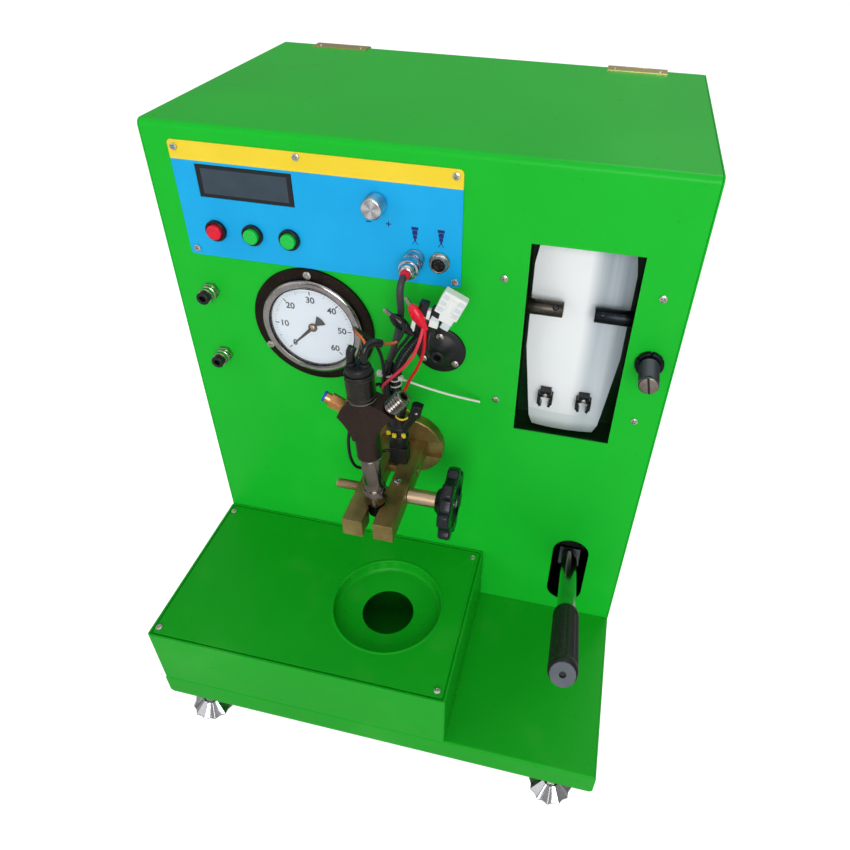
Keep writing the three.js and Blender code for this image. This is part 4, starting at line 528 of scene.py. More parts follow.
def merged(parts):
    """Points and faces of several forms, each with its own matrix, as one."""
    points, faces = [], []
    for (form_points, form_faces), matrix in parts:
        start = len(points)
        points += [matrix @ Vector(p) for p in form_points]
        faces += [tuple(start + i for i in face) for face in form_faces]
    return points, faces


def box_form(low, high):
    (x0, y0, z0), (x1, y1, z1) = low, high
    points = [(x, y, z) for z in (z0, z1) for x, y in ((x0, y0), (x1, y0), (x1, y1), (x0, y1))]
    return points, [(3, 2, 1, 0), (4, 5, 6, 7)] + ring_faces(0, 4, 4)


# %% [markdown]
# A cable follows a smooth curve through a few chosen places. The Catmull-Rom rule below passes
# through every place without overshooting, and the section is carried along without twisting.

# %% Routes and swept sections
def smooth_route(places, count):
    knots = [Vector(p) for p in places]
    knots = [knots[0] * 2 - knots[1]] + knots + [knots[-1] * 2 - knots[-2]]
    times = [0.0]
    for a, b in zip(knots, knots[1:]):
        times.append(times[-1] + max((b - a).length, 1e-6) ** 0.5)
    route = []
    for step in range(count):
        t = times[1] + (times[-2] - times[1]) * step / (count - 1)
        stretch = next((i for i in range(1, len(times) - 1) if t <= times[i + 1]), 1)
        k = min(len(knots) - 3, stretch)
        p, s = knots[k - 1:k + 3], times[k - 1:k + 3]

        def between(a, b, ta, tb):
            return a * ((tb - t) / (tb - ta)) + b * ((t - ta) / (tb - ta))
        a1, a2, a3 = (between(p[i], p[i + 1], s[i], s[i + 1]) for i in range(3))
        b1, b2 = between(a1, a2, s[0], s[2]), between(a2, a3, s[1], s[3])
        route.append(between(b1, b2, s[1], s[2]))
    return route


def swept_form(route, radius, sides=12, rib=None):
    """Rings of a round section along a route; rib gives the radius at a length from the start."""
    points, faces, normal, gone = [], [], None, 0.0
    for i, spot in enumerate(route):
        ahead = (route[min(i + 1, len(route) - 1)] - route[max(i - 1, 0)]).normalized()
        if normal is None:
            normal = ahead.orthogonal().normalized()
        normal = (normal - ahead * normal.dot(ahead)).normalized()
        other = ahead.cross(normal)
        if i:
            gone += (spot - route[i - 1]).length
            faces += ring_faces((i - 1) * sides, i * sides, sides)
        r = rib(gone) if rib else radius
        for k in range(sides):
            turn = 2 * math.pi * k / sides
            points.append(spot + (normal * math.cos(turn) + other * math.sin(turn)) * r)
    faces.append(tuple(range(sides - 1, -1, -1)))
    faces.append(tuple(range((len(route) - 1) * sides, len(route) * sides)))
    return points, faces


def cable(name, places, material, slot, replaced=None, radius=1.6,
          count=48, sides=12, rib=None):
    """A free cord of the harness, swept along a smooth route through its places."""
    route = smooth_route(places, count)
    made = piece_from(name, swept_form(route, radius, sides, rib), material, slot, sharp=60,
                      replaced=replaced)


# %% [markdown]
# The driver's harness hangs from its round plug: a grey cable, a ribbed loom down to the injector's
# black plug, two test leads with spring clips, a white plug connector and a loose loop of wire.
# Their places repeat the drawing's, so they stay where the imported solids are.

# %% Routes of the harness
SOCKET_X, SOCKET_Z = 252.8, 500.5
CABLE_START = 38.3
cable_places = [
    (SOCKET_X, -CABLE_START, SOCKET_Z), (SOCKET_X, -CABLE_START - 2.9, SOCKET_Z),
    (252.7, -46, 498.5), (252.4, -48.5, 492), (252, -47.5, 482), (251, -43, 471), (249, -38.5, 460),
    (246.5, -36.5, 448), (244, -36.5, 436), (241, -38, 424), (238, -41, 412)]
loom_places = [
    (246, -45, 350), (246, -45, 361), (245.2, -45, 372), (244.5, -45, 383), (244.5, -45, 394),
    (246, -45, 404), (249, -45, 414), (253, -45, 423), (259, -45, 433), (266, -45, 443),
    (272, -45, 452)]
red_lead_places = [
    (254, -50, 377), (255, -52, 386), (258, -53, 396), (262.5, -53, 406), (268, -53.5, 417),
    (272, -54, 428), (275, -54, 440), (275.5, -52.5, 452), (275, -50, 461)]
black_lead_places = [
    (236, -49, 378), (235.5, -50, 387), (236, -51, 397), (238.5, -52, 408), (243, -52, 420),
    (250, -52, 434), (258, -51.5, 446), (262, -50, 453)]
second_red_places = [
    (233.6, -49.6, 384), (234, -53.6, 390), (239, -56, 398), (248, -56.4, 408.5), (258, -56.6, 421),
    (266, -56.6, 434), (270.4, -55.4, 446), (272.6, -52.4, 455), (273.4, -50.2, 461)]
connector_places = [
    (279, -54, 440), (279, -53, 448), (280, -50, 455), (283.5, -48, 460), (287.5, -47, 465),
    (291, -46, 470)]
loop_places = [
    (236.2, -47, 302), (233, -47, 302), (228, -50.5, 302), (225, -60, 302.5), (223, -73, 304),
    (219.5, -84, 308), (215, -91.5, 316), (212.5, -95, 328), (211.5, -96, 340), (211.5, -95, 353),
    (213, -91, 366), (216, -83, 378), (221, -73, 388), (227, -62, 394), (231, -55, 393.5),
    (232.6, -52.4, 388)]

# %% [markdown]
# A spring clip has a soft leaf-shaped boot over its handles and a pair of toothed jaws in
# nickel. The boot is turned from its own profile and pressed flat, the jaws are bent channels.

# %% Spring clips on the test leads
CLIP_LENGTH, CLIP_TIP, TEETH = 24, 8, 10


def pressed_leaf(radius, height, turn):
    groove = 0.16 * math.cos(9 * height) if 4 < height < 9 else 0
    return radius * (1 - 0.2 * math.sin(turn) ** 2) + groove


def spring_clip(name, start, tip, boot_material, slot):
    stand = at(*start, (Vector(tip) - Vector(start)).to_track_quat("Z", "X").to_matrix().to_4x4())
    leaf = [(2.8 + 3.3 * math.sin(math.pi * i / 17) ** 0.8, 20.5 * i / 14) for i in range(1, 15)]
    profile = [(0, -3), (2.2, -3), (2.6, -2.2), (2.8, 0), *leaf, (2.9, 23), (2.5, CLIP_LENGTH),
               (1.9, CLIP_LENGTH + 0.2), (0, CLIP_LENGTH + 0.2)]
    boot = turned(name + "_boot", profile, boot_material, slot, stand, 32, pressed_leaf)
    jaws = []
    for hand in (1, -1):
        points, faces = [], []
        for k in range(TEETH):
            z = CLIP_LENGTH - 3 + (CLIP_TIP + 3) * k / (TEETH - 1)
            inner, outer = 0.15 + (0.25 if k % 2 else 0.0), 1.9 - 1.3 * k / (TEETH - 1)
            points += [(-1.7, hand * inner, z), (1.7, hand * inner, z), (1.7, hand * outer, z),
                       (-1.7, hand * outer, z)]
            if k:
                faces += ring_faces(4 * k - 4, 4 * k, 4)
        faces += [(3, 2, 1, 0), tuple(range(4 * TEETH - 4, 4 * TEETH))]
        jaws.append(((points, faces), UP))
    return [boot, piece_from(name + "_jaws", merged(jaws), nickel, "nickel", stand)]


black_clip = spring_clip("black_test_clip", black_lead_places[-1], (234, -49, 476), gloss_black,
                         "black_plastic")
red_clip = spring_clip("red_test_clip", red_lead_places[-1], (258, -48, 486), red_plastic,
                       "red_plastic")

# %% [markdown]
# The loom is a split conduit, so its skin is a row of round ribs about three millimetres apart. The
# radius simply rises and falls along its length; real ribs give the light edges that paint cannot.

# %% The harness cords
LOOM_RADIUS, RIB_PITCH, RIB_DEPTH = 5.0, 3.1, 1.0


def loom_rib(gone):
    return LOOM_RADIUS - RIB_DEPTH * (0.5 - 0.5 * math.cos(2 * math.pi * gone / RIB_PITCH))


cable("driver_cable", cable_places, grey_cable, "cable_jacket",
      "plug_cable", 3.2, 56)
cable("ribbed_loom", loom_places, cable_skin, "cable_jacket",
      "harness_bundle", LOOM_RADIUS, 420, 20, loom_rib)
cable("red_test_lead", red_lead_places, red_wire, "red_plastic",
      "test_clip_red")
cable("black_test_lead", black_lead_places, black_wire, "cable_jacket",
      "test_clip_black")
cable("loop_lead", loop_places, black_wire, "cable_jacket", "loop_wire", count=72)

# %% [markdown]
# Screws tell the eye how large a machine is. Each head here is a low dome with a cross
# pressed into it, turned to its own chance angle, as a fitter leaves them. Heads of one kind that
# sit on one plate share a piece.

# %% Screw heads
chance = random.Random(7)
GAUGE_X, GAUGE_Z, GAUGE_SCREWS = 146.4, 412.3, 57.8


def screw_form(radius, rise, rings=9, sides=32):
    points, faces = [], []
    for k in range(rings, -1, -1):
        reach = radius * max(k, 0.3) / rings
        for i in range(sides):
            turn = 2 * math.pi * i / sides
            x, y = reach * math.cos(turn), reach * math.sin(turn)
            height = rise * (1 - 0.3 * (k / rings) ** 2)
            if min(abs(x), abs(y)) < radius * 0.15 and reach < radius * 0.62:
                height -= rise * 0.55
            points.append((x, y, height))
    for k in range(rings):
        faces += ring_faces(k * sides, (k + 1) * sides, sides)
    faces.append(tuple(range(rings * sides, (rings + 1) * sides)))
    foot = len(points)
    points += [(x, y, 0) for x, y, _ in points[:sides]]
    return points, faces + ring_faces(foot, 0, sides)


def screws(name, places, turn, radius, rise, material=zinc_screw, body="cabinet"):
    heads = []
    for spot in places:
        chance_turn = Matrix.Rotation(chance.uniform(0, math.pi), 4, "Z")
        heads.append((screw_form(radius, rise), shift(*spot, turn @ chance_turn)))
    piece_from(name, merged(heads), material, "steel", body=body, sharp=30)


screws("label_screws", [(32.5, -1.3, 580.1), (148.1, -1.3, 582), (289.8, -1.3, 580.5),
                        (34.2, -1.3, 483.1), (290.5, -1.3, 482.3)], OUT, 3.3, 2.2)
flange_spots = [polar(GAUGE_SCREWS, angle) for angle in (90, 210, 330)]
screws("gauge_flange_screws", [(GAUGE_X + x, -3.3, GAUGE_Z + z) for x, z in flange_spots],
       OUT, 3.9, 2.6)
screws("hood_screws", [(277.9, -3.4, 422.6), (261.0, -3.4, 395), (293.4, -3.4, 393.4)],
       OUT, 3.6, 2.6)
screws("window_screws", [(335.6, 0, 491.8), (475.2, 0, 492), (335.8, 0, 354.5), (475, 0, 354.4)],
       OUT, 3.5, 2.3)
TRAY_TOP = 115.4
screws("tray_lid_screws", [(8.5, -192, TRAY_TOP), (324, -192, TRAY_TOP), (8.5, -13.8, TRAY_TOP),
                           (324, -13.8, TRAY_TOP)], UP, 3.6, 2.0)

# %% [markdown]
# The label's words are left bare. What stays are generic marks: a plus and a minus beside the
# knob and a small injector sign over each socket, printed in dark blue as thin raised ink.

# %% Marks printed on the label
LABEL_FACE, INK = 1.3, 0.06


def print_marks(name, shapes, height, material, slot, centre=(0, 0)):
    points, faces = [], []
    for shape in shapes:
        start, count = len(points), len(shape)
        for lift in (0, INK):
            points += [(centre[0] + x, -(height + lift), centre[1] + z) for x, z in shape]
        faces += ring_faces(start, start + count, count)
        faces.append(tuple(start + count + i for i in range(count)))
    piece_from(name, (points, faces), material, slot)


def bar(x, z, wide, high):
    return [(x + a * wide / 2, z + b * high / 2) for a, b in ((-1, -1), (1, -1), (1, 1), (-1, 1))]


def injector_sign(x, z):
    limbs = [bar(x, z + 14.4, 6.4, 2.8), bar(x, z + 10.6, 4.8, 4.2), bar(x, z + 6.6, 3.6, 3.4),
             bar(x, z + 3.6, 1.8, 2.6)]
    for hand in (-1, 1):
        limbs.append([(x, z + 2.6), (x + hand * 2.0, z - 0.6), (x + hand * 2.9, z - 0.6),
                      (x + hand * 0.6, z + 2.8)])
    return limbs


print_marks("label_marks", [bar(229, 530.9, 5, 1), bar(229, 530.9, 1, 5),
                            bar(210.6, 531.2, 4.6, 1.2), *injector_sign(253.2, 515.2),
                            *injector_sign(277.1, 515.2)],
            LABEL_FACE, navy_ink, "label_film")

# %% [markdown]
# The knob is spun from aluminium with fine circles on its face, and its side is knurled. The two
# bright fans of light such circles throw are painted into its colour as highlights: the fans come
# from the angle round the knob, the circles from its radius.

# %% Spun aluminium knob
spun = Finish("spun_aluminium", paint(206, 207, 210), 0.3, 1.0)
x, y = spun.along(0), spun.along(1)
# Painted highlight: two bright fans in the colour, set by the angle round the knob.
painted_fans = spun.wire.sum("COSINE", spun.wire.sum("ARCTAN2", y, x) * 4 + 0.9) * 0.5 + 0.5
circles = spun.wire.node("TexNoise", {"noise_dimensions": "1D"},
                         {"W": spun.wire.sum("SQRT", x * x + y * y), "Scale": 2600, "Detail": 2})
spun_metal = spun.done(spun.mixed(painted_fans * 0.6 + circles * 0.3, paint(150, 152, 156),
                                  paint(240, 240, 242)),
                       circles * 0.2 + 0.16, (circles, 0.00005, 0.5))


def knurled(count, depth, low, high):
    """Grooves round the part of a turned form whose radius lies between two values."""
    return lambda radius, height, turn: radius - depth * (0.5 - 0.5 * math.cos(count * turn)) \
        if low < radius < high else radius


KNOB_PROFILE = [(0, -14), (3, -14), (3, 3), (9.0, 3), (9.6, 3.5), (9.7, 4.2), (9.7, 16.6),
                (9.66, 17.4), (9.2, 18.4), (8.6, 18.95), (7.6, 19), (4, 18.9), (0, 18.85)]
turned("spun_knob", KNOB_PROFILE, spun_metal, "aluminium", at(219.2, 0, 549.7, OUT), 240,
       knurled(60, 0.35, 9.65, 9.75), body="knob", replaced="adjust_knob")

# %% [markdown]
# The three push buttons are glossy caps in black collars. Their faces are slightly dished, so a
# soft highlight sits off their middle.

# %% Push buttons
BUTTON_Z = 504
COLLAR_PROFILE = [(0, -22.4), (9, -22.4), (9, 1.6), (10.2, 1.6), (10.2, 4.6), (10.0, 5.2),
                  (9.5, 5.6), (8.2, 5.6), (7.75, 5.3), (7.6, 4.8), (7.6, -20.4), (0, -20.4)]
CAP_PROFILE = [(0, -7.6), (7.3, -7.6), (7.3, 7.7), (7.15, 8.4), (6.7, 8.8), (6.1, 8.9), (3.5, 8.6),
               (0, 8.5)]
for key, x, material, slot in (("red", 58.5, red_plastic, "red_plastic"),
                               ("green", 95.5, green_plastic, "green_plastic"),
                               ("test", 132.5, green_plastic, "green_plastic")):
    where = at(x, 0, BUTTON_Z, OUT)
    turned(f"{key}_button_collar", COLLAR_PROFILE, gloss_black, "black_plastic", where, 72,
           replaced=f"button_ring_{key}")
    turned(f"{key}_button_cap", CAP_PROFILE, material, slot, where, 72, body=f"cap_{key}",
           replaced=f"button_cap_{key}")

# %% [markdown]
# Both sockets are round nickel connectors: a nut, a threaded collar and a dark insert with pins.
# The plug in the left one has a knurled ring, a waist, a grooved grip and a red seal at its end.

# %% Round sockets and the plug
def threaded(radius, depth, start, end, pitch):
    profile, height = [], start
    while height < end - pitch:
        profile += [(radius - depth, height), (radius, height + pitch * 0.5)]
        height += pitch
    return profile + [(radius - depth, end)]


SHELL_PROFILE = [(0, -14), (8, -14), (8, 1.6), (9.3, 1.6), (9.5, 1.9), (9.5, 3.9), (9.2, 4.2),
                 (8, 4.2), *threaded(8, 0.3, 4.4, 9.0, 0.8), (7.6, 9.5), (6.8, 9.5), (6.4, 9.1),
                 (6.4, 2.5), (0, 2.5)]
PLUG_PROFILE = [(0, 9.8), (8.3, 9.8), (8.3, 4.5), (9.3, 4.5), (9.6, 4.9), (9.6, 10.6), (9.2, 11.2),
                (8.1, 11.4), (8.0, 15.4), (9.2, 15.6), (9.5, 16.2), (9.5, 23.8), (9.1, 24.4),
                (7.7, 24.6), (7.6, 28.6), (6.9, 30.4), (5.6, 31.6), (4.6, 32), (0, 32)]
insert = [(turned_rings([(0, 2.4), (6.3, 2.4), (6.3, 4.6), (6.0, 4.9), (0, 4.9)], 40), UP),
          (turned_rings([(0, 4.8), (1.5, 4.8), (1.5, 6.2), (0, 6.2)], 20), shift(0, -4.4, 0))]
pin = turned_rings([(0, 4.8), (0.6, 4.8), (0.6, 7.2), (0.35, 7.7), (0, 7.8)], 16)
pins = [(pin, shift(*polar(3.6, angle), 0)) for angle in (-30, 25, 70, 110, 155, 210)]
for name, x in (("socket_driver", SOCKET_X), ("socket_spare", 276.3)):
    where = at(x, 0, SOCKET_Z, OUT)
    turned(name + "_shell", SHELL_PROFILE, nickel, "nickel", where, 72, replaced=name)
    piece_from(name + "_insert", merged(insert), black_plastic, "black_plastic", where)
    piece_from(name + "_pins", merged(pins), nickel, "nickel", where)
where = at(SOCKET_X, 0, SOCKET_Z, OUT)
turned("driver_plug", PLUG_PROFILE, chrome, "nickel", where, 144, knurled(36, 0.3, 9.45, 9.65),
       replaced="cable_plug")
turned("driver_plug_seal", [(0, 31.4), (4.7, 31.4), (4.9, 32.4), (4.6, 36), (4.0, 38.1), (0, 38.1)],
       red_plastic, "red_plastic", where, 48)

# %% [markdown]
# The gauge is what people read, so its dial gets true numbers from 0 to 60, long and short marks,
# a fan-tailed pointer on a bronze hub and a rounded bezel. A text object is turned into a mesh,
# since digits then keep their shape in every viewer.

# %% Pressure gauge: bezel, dial print and pointer
BEZEL_PROFILE = [(46.4, 3.6), (52.6, 3.6), (53, 4.1), (53, 5.9), (52.7, 7.0), (51.9, 7.9),
                 (50.6, 8.5), (49.2, 8.7), (47.6, 8.4), (46.6, 8.5), (46.0, 8.9), (45.4, 8.75),
                 (45.2, 8.4), (46.4, 8.2), (46.4, 3.6)]
LIP_PROFILE = [(46.2, 8.6), (45.3, 8.75), (44.6, 8.6), (44.3, 8.2), (44.3, 6.0), (43.9, 4.5)]
FLANGE_PROFILE = [(49.6, 3.34), (62.4, 3.34), (63.1, 3.1), (63.34, 2.4), (63.34, 0.3)]
gauge_place = at(GAUGE_X, 0, GAUGE_Z, OUT)
turned("gauge_bezel_ring", BEZEL_PROFILE, bezel_chrome, "chrome", gauge_place, 144, sharp=60,
       replaced="gauge_bezel")
turned("gauge_inner_lip", LIP_PROFILE, gloss_black, "black_plastic", gauge_place, 144, sharp=60,
       replaced="gauge_bezel")
turned("gauge_flange_ring", FLANGE_PROFILE, black_steel, "burnished_steel", gauge_place, 144)

DIAL_FACE, FIRST_ANGLE, SWEEP, FULL_SCALE = 4.4, 225, 270, 60
MARK_RADIUS, NUMBER_RADIUS, NUMBER_HEIGHT = 40.6, 30.6, 6.6


def dial_angle(value):
    return FIRST_ANGLE - SWEEP * value / FULL_SCALE


ticks = []
for value in range(FULL_SCALE + 1):
    long, wide = (4.2, 1.1) if value % 10 == 0 else (3.0, 0.4) if value % 5 == 0 else (1.9, 0.2)
    ahead = Vector(polar(1, dial_angle(value)))
    aside = Vector((-ahead.y, ahead.x)) * wide / 2
    near, far = ahead * (MARK_RADIUS - long), ahead * MARK_RADIUS
    ticks.append([tuple(corner) for corner in
                  (near - aside, far - aside, far + aside, near + aside)])
print_marks("dial_marks", ticks, DIAL_FACE, dial_ink, "black_plastic", (GAUGE_X, GAUGE_Z))


def number_form(text, high):
    letters = bpy.data.curves.new("digits", "FONT")
    letters.body, letters.size = text, high * 1.42
    letters.align_x, letters.align_y = "CENTER", "CENTER"
    letters.offset = high * 0.035
    holder = linked("digits", letters)
    graph = bpy.context.evaluated_depsgraph_get()
    flat = bpy.data.meshes.new_from_object(holder.evaluated_get(graph))
    form = [tuple(v.co) for v in flat.vertices], [tuple(p.vertices) for p in flat.polygons]
    bpy.data.objects.remove(holder)
    bpy.data.curves.remove(letters)
    bpy.data.meshes.remove(flat)
    return form


numbers = [(number_form(str(value), NUMBER_HEIGHT),
            shift(*polar(NUMBER_RADIUS, dial_angle(value)), DIAL_FACE + INK))
           for value in range(0, FULL_SCALE + 1, 10)]
piece_from("dial_numbers", merged(numbers), dial_ink, "black_plastic", gauge_place)

POINTER_BACK, POINTER_THICK = 4.7, 0.8
half_blade = [(33, 0.5), (16, 1.3), (3, 1.9), (-3, 1.7), (-6, 1.7), (-13.4, 5.9), (-14.4, 3.2)]
outline = half_blade + [(-14.8, 0)] + [(x, -y) for x, y in reversed(half_blade)]
count = len(outline)
blade = ([(x, y, POINTER_BACK + lift) for lift in (0, POINTER_THICK) for x, y in outline],
         [tuple(reversed(face)) for face in ring_faces(0, count, count)]
         + [tuple(range(count)), tuple(range(2 * count - 1, count - 1, -1))])
hub = turned_rings([(0, -4.3), (1.5, -4.3), (1.5, 4.8), (4.6, 4.8), (4.6, 5.9), (0, 5.9)], 40)
pointer_place = at(GAUGE_X, 0, GAUGE_Z, OUT @ rotated(FIRST_ANGLE, "Z"))
piece_from("gauge_hand", merged([(blade, UP), (hub, UP)]), dial_ink, "black_plastic", pointer_place,
           "pointer", replaced="gauge_pointer")
turned("gauge_hand_hub", [(0, 5.8), (3.4, 5.8), (3.4, 6.5), (2.8, 7.0), (1.2, 7.1), (1.0, 6.8),
                          (0, 6.8)],
       hub_bronze, "brass", pointer_place, 40, body="pointer")

# %% [markdown]
# The return hood is a moulded bell, and the two oil couplings are push-in fittings: a hexagon, a
# grooved nickel body and a black release collar round a small bore.

# %% Hood and oil couplings
bell = [(7.5 + 12.5 * (1 - k / 14) ** 2.2, 2.9 + 14.1 * k / 14) for k in range(14)]
turned("return_hood", [(0, -12), (5, -12), (5, 0.3), (25.4, 0.3), (25.4, 1.9), (25.0, 2.6),
                       (24.2, 2.9), *bell, (7.3, 16.6), (6.7, 17), (4.2, 17), (3.4, 16.4), (3.4, 4),
                       (0, 4)],
       black_plastic, "black_plastic", at(277.7, 0, 405.2, OUT), 80, sharp=55,
       replaced="outlet_hood")
barrel = turned_rings([(0, -18), (6, -18), (6, 4.2), (7.4, 4.3), (7.6, 4.7), (7.6, 8.2), (7.0, 8.6),
                       (7.0, 9.4), (7.6, 9.8), (7.6, 13.4), (7.1, 14), (3.2, 14), (3.2, 8.5),
                       (0, 8.5)], 64)
hexagon = turned_rings([(0, 0.3), (8.7, 0.3), (9, 0.7), (9, 3.9), (8.6, 4.3), (0, 4.3)], 6)
for name, z in (("coupling_upper", 436.6), ("coupling_lower", 359.8)):
    where = at(38.4, 0, z, OUT)
    piece_from(name + "_body", merged([(barrel, UP), (hexagon, UP)]), nickel, "nickel", where,
               sharp=30, replaced=name)
    turned(name + "_collar", [(3.2, 9), (3.2, 20.1), (3.6, 20.5), (5.9, 20.5), (6.5, 20.0),
                              (6.6, 19.2), (6.2, 17.6), (6.2, 14.0), (5, 13.9)],
           black_plastic, "black_plastic", where)

# %% [markdown]
# The spray window shows a white splash plate in a dark chamber. Light falls in from the left, so
# its right third lies in a soft grey band, which the finish paints in as shade, darker at the top;
# the bent lip at its foot gets a paler painted shade. Whatever stands in front of the plate's own
# face is black, like the tool clips that are set on it.

# %% Splash plate with its painted shade and the black tool clips
PLATE_X, PLATE_HALF, PLATE_LOW, PLATE_HIGH, PLATE_FACE, LIP_Z = 405.3, 47, 319, 528, 30, 325
splash = Finish("splash_plate", paint(246, 250, 252), 0.32)
aside = (splash.along(0) - place(PLATE_X, 0, 0).x) / (PLATE_HALF * MM)
rise = (splash.along(2) - place(0, 0, PLATE_LOW).z) / ((PLATE_HIGH - PLATE_LOW) * MM)
# Painted shade: the right third of the plate is greyed, darker towards the top.
band = splash.clamped(aside + splash.cloud(9, 3, (1, 1, 0.4)) * 0.3, 0.22, 0.52)
shade_streak = splash.clamped(splash.cloud(60, 3, (1, 1, 0.04)), 0.4, 0.62)
shade = splash.mixed(rise, paint(208, 218, 226), paint(132, 147, 160))
tone = splash.mixed(band * (0.7 + shade_streak * 0.3), paint(248, 251, 253), shade)
# Painted shade on the bent lip below LIP_Z, a paler grey.
tone = splash.mixed((splash.along(2) < place(0, 0, LIP_Z).z) * 0.5, tone, paint(214, 226, 232))
black = splash.along(1) < place(0, PLATE_FACE - 0.1, 0).y
dressed("back_plate", splash.done(splash.mixed(black, tone, paint(14, 15, 18)),
                                  0.26 + splash.cloud(26, 3) * 0.16,
                                  (splash.cloud(300, 2), 0.00008, 0.3)), 0.3)

CLIP_Y, CLIP_DEEP = 21.4, 8.6
CLIP_LIMBS = ((1.7, 0, 11.5, 6.2, 340.6, 0), (1.3, -3.4, 0.6, 5.6, 340.6, 24),
              (2.2, -1.6, 4.2, 4.6, 351.6, -30))
for side, x in (("left", 384), ("right", 423.6)):
    clip = [(box_form((-half, 0, low), (half, CLIP_DEEP, high)),
             shift(x + hand * reach, CLIP_Y, z, rotated(hand * tilt, "Y")))
            for hand in (-1, 1) for half, low, high, reach, z, tilt in CLIP_LIMBS]
    clip += [(box_form((-3.6, -0.3, 0), (3.6, CLIP_DEEP, 5)), shift(x, CLIP_Y, 350)),
             (box_form((-5.6, 0, 0), (5.6, CLIP_DEEP, 2.2)), shift(x, CLIP_Y, 355.2))]
    piece_from(f"tool_clip_{side}", merged(clip), gloss_black, "black_plastic", sharp=30)
    screws(f"tool_clip_{side}_screw", [(x, CLIP_Y - 0.3, 352.8)], OUT, 2.1, 1.5)

# %% [markdown]
# The two spouts are short dark pipes across the window, each with two small outlets turned half
# upwards. The outlets are not bored: a dark disc on each is painted shade in place of the hole. The
# left pipe is worn brown-grey, and the right one carries a pressed-in ring.

# %% Spouts with their outlets
SPOUT_Y, SPOUT_Z, OUTLET_RISE = 20, 456, 40
facing = OUT @ rotated(-OUTLET_RISE, "X")
outlet_shade_disc = turned_rings([(0, 7.46), (1.9, 7.46), (2.1, 7.36)], 28)
for side, x0, x1, holes, finish in (("left", 353.6, 390.6, (364.6, 383.6), worn_pipe),
                                    ("right", 420.0, 457.0, (427, 446), dark_pipe)):
    turned(f"spout_pipe_{side}", [(0, x0), (7.1, x0), (7.5, x0 + 0.5), (7.5, x1 - 0.5), (7.1, x1),
                                  (5.6, x1), (5.4, x1 - 2), (0, x1 - 2)],
           finish, "burnished_steel", at(0, SPOUT_Y, SPOUT_Z, RIGHT), 56, replaced=f"spout_{side}")
    # Dark discs painted as the shade inside the outlet holes, which are not bored.
    outlet_shade_discs = [(outlet_shade_disc, shift(x, SPOUT_Y, SPOUT_Z, facing)) for x in holes]
    piece_from(f"spout_outlet_shades_{side}", merged(outlet_shade_discs), black_wire, "black_plastic")
ring = turned_rings([(1.9, 7.4), (2.0, 7.9), (2.5, 8.0), (3.0, 7.7), (3.1, 6.8)], 28)
piece_from("spout_outlet_ring", merged([(ring, shift(383.6, SPOUT_Y, SPOUT_Z, facing))]), dark_pipe,
           "steel")

# %% [markdown]
# The valve has a notched locking nut and a slotted spindle with a fine thread. Finer turned
# forms stand for both, and the notches come from pulling the radius in at six places. The thread is
# dark, and the end face is painted brighter as the light it catches. The slot is not cut: a thin
# black sheet on the end face is painted shade in its place.

# %% Release valve
VALVE_X, VALVE_Z, END_FACE = 476.2, 424.4, 37.3
valve_place = at(VALVE_X, 0, VALVE_Z, OUT)


def notched(count, share, depth, low):
    def radius_at(radius, height, turn):
        inside = (turn * count / (2 * math.pi)) % 1
        return radius - depth if radius > low and abs(inside - 0.5) < share / 2 else radius
    return radius_at


turned("valve_locking_nut", [(0, -34), (10, -34), (10, 0.3), (12.6, 0.3), (13.2, 0.7), (13.4, 1.3),
                             (13.4, 4.3), (13.1, 5.0), (12.5, 5.3), (8.2, 5.3), (7.4, 5.0),
                             (7.0, 4.0), (7.0, 0)],
       dark_pipe, "burnished_steel", valve_place, 120, notched(6, 0.16, 1.5, 12.9),
       replaced="valve_body")
steel = Finish("spindle_steel", paint(78, 84, 88), 0.3, 0.9)
# Painted light: the end face above END_FACE gets a brighter colour than the sides.
painted_end_light = steel.mixed(steel.cloud(220, 3), paint(116, 104, 98), paint(164, 152, 142))
spindle_steel = steel.done(steel.mixed(steel.along(2) > END_FACE * MM, paint(78, 84, 88), painted_end_light),
                           0.3, (steel.cloud(500, 2), 0.00004, 0.3))
turned("valve_spindle_head", [(0, -18), (6.5, -18), (6.6, -17), (6.6, 5.0), (8.6, 5.6),
                              *threaded(9.4, 0.5, 6, 35.4, 1.5), (9.2, 36.2), (8.6, 37.2),
                              (7.8, 37.5), (0, 37.5)],
       spindle_steel, "steel", valve_place, body="release_spindle", replaced="valve_spindle")
# A thin black sheet on the end face, painted shade standing in for the uncut slot.
piece_from("valve_spindle_slot_shade", box_form((-1.0, -8.6, 0), (1.0, 8.6, 0.12)), black_wire,
           "black_plastic", at(VALVE_X, -37.45, VALVE_Z, OUT @ rotated(13, "Z")), "release_spindle")

# %% [markdown]
# The jaws close on a screw with a black lobed handwheel. The screw is cut with a real thread
# where it shows, its sleeve is satin and warm in colour, and the wheel is cast with seven lobes.

# %% Clamp screw and handwheel
SCREW_Y, SCREW_Z = -84, 280.6
WHEEL_RADIUS, LOBE_DEPTH, LOBES = 37, 6.4, 7
screw_place = at(0, SCREW_Y, SCREW_Z, RIGHT)


def lobes(radius, height, turn):
    if radius < 25:
        return radius
    share = min(1, max(0, 0.5 - 0.9 * math.cos(LOBES * turn)))
    return radius * (1 - LOBE_DEPTH * share * share * (3 - 2 * share) / WHEEL_RADIUS)


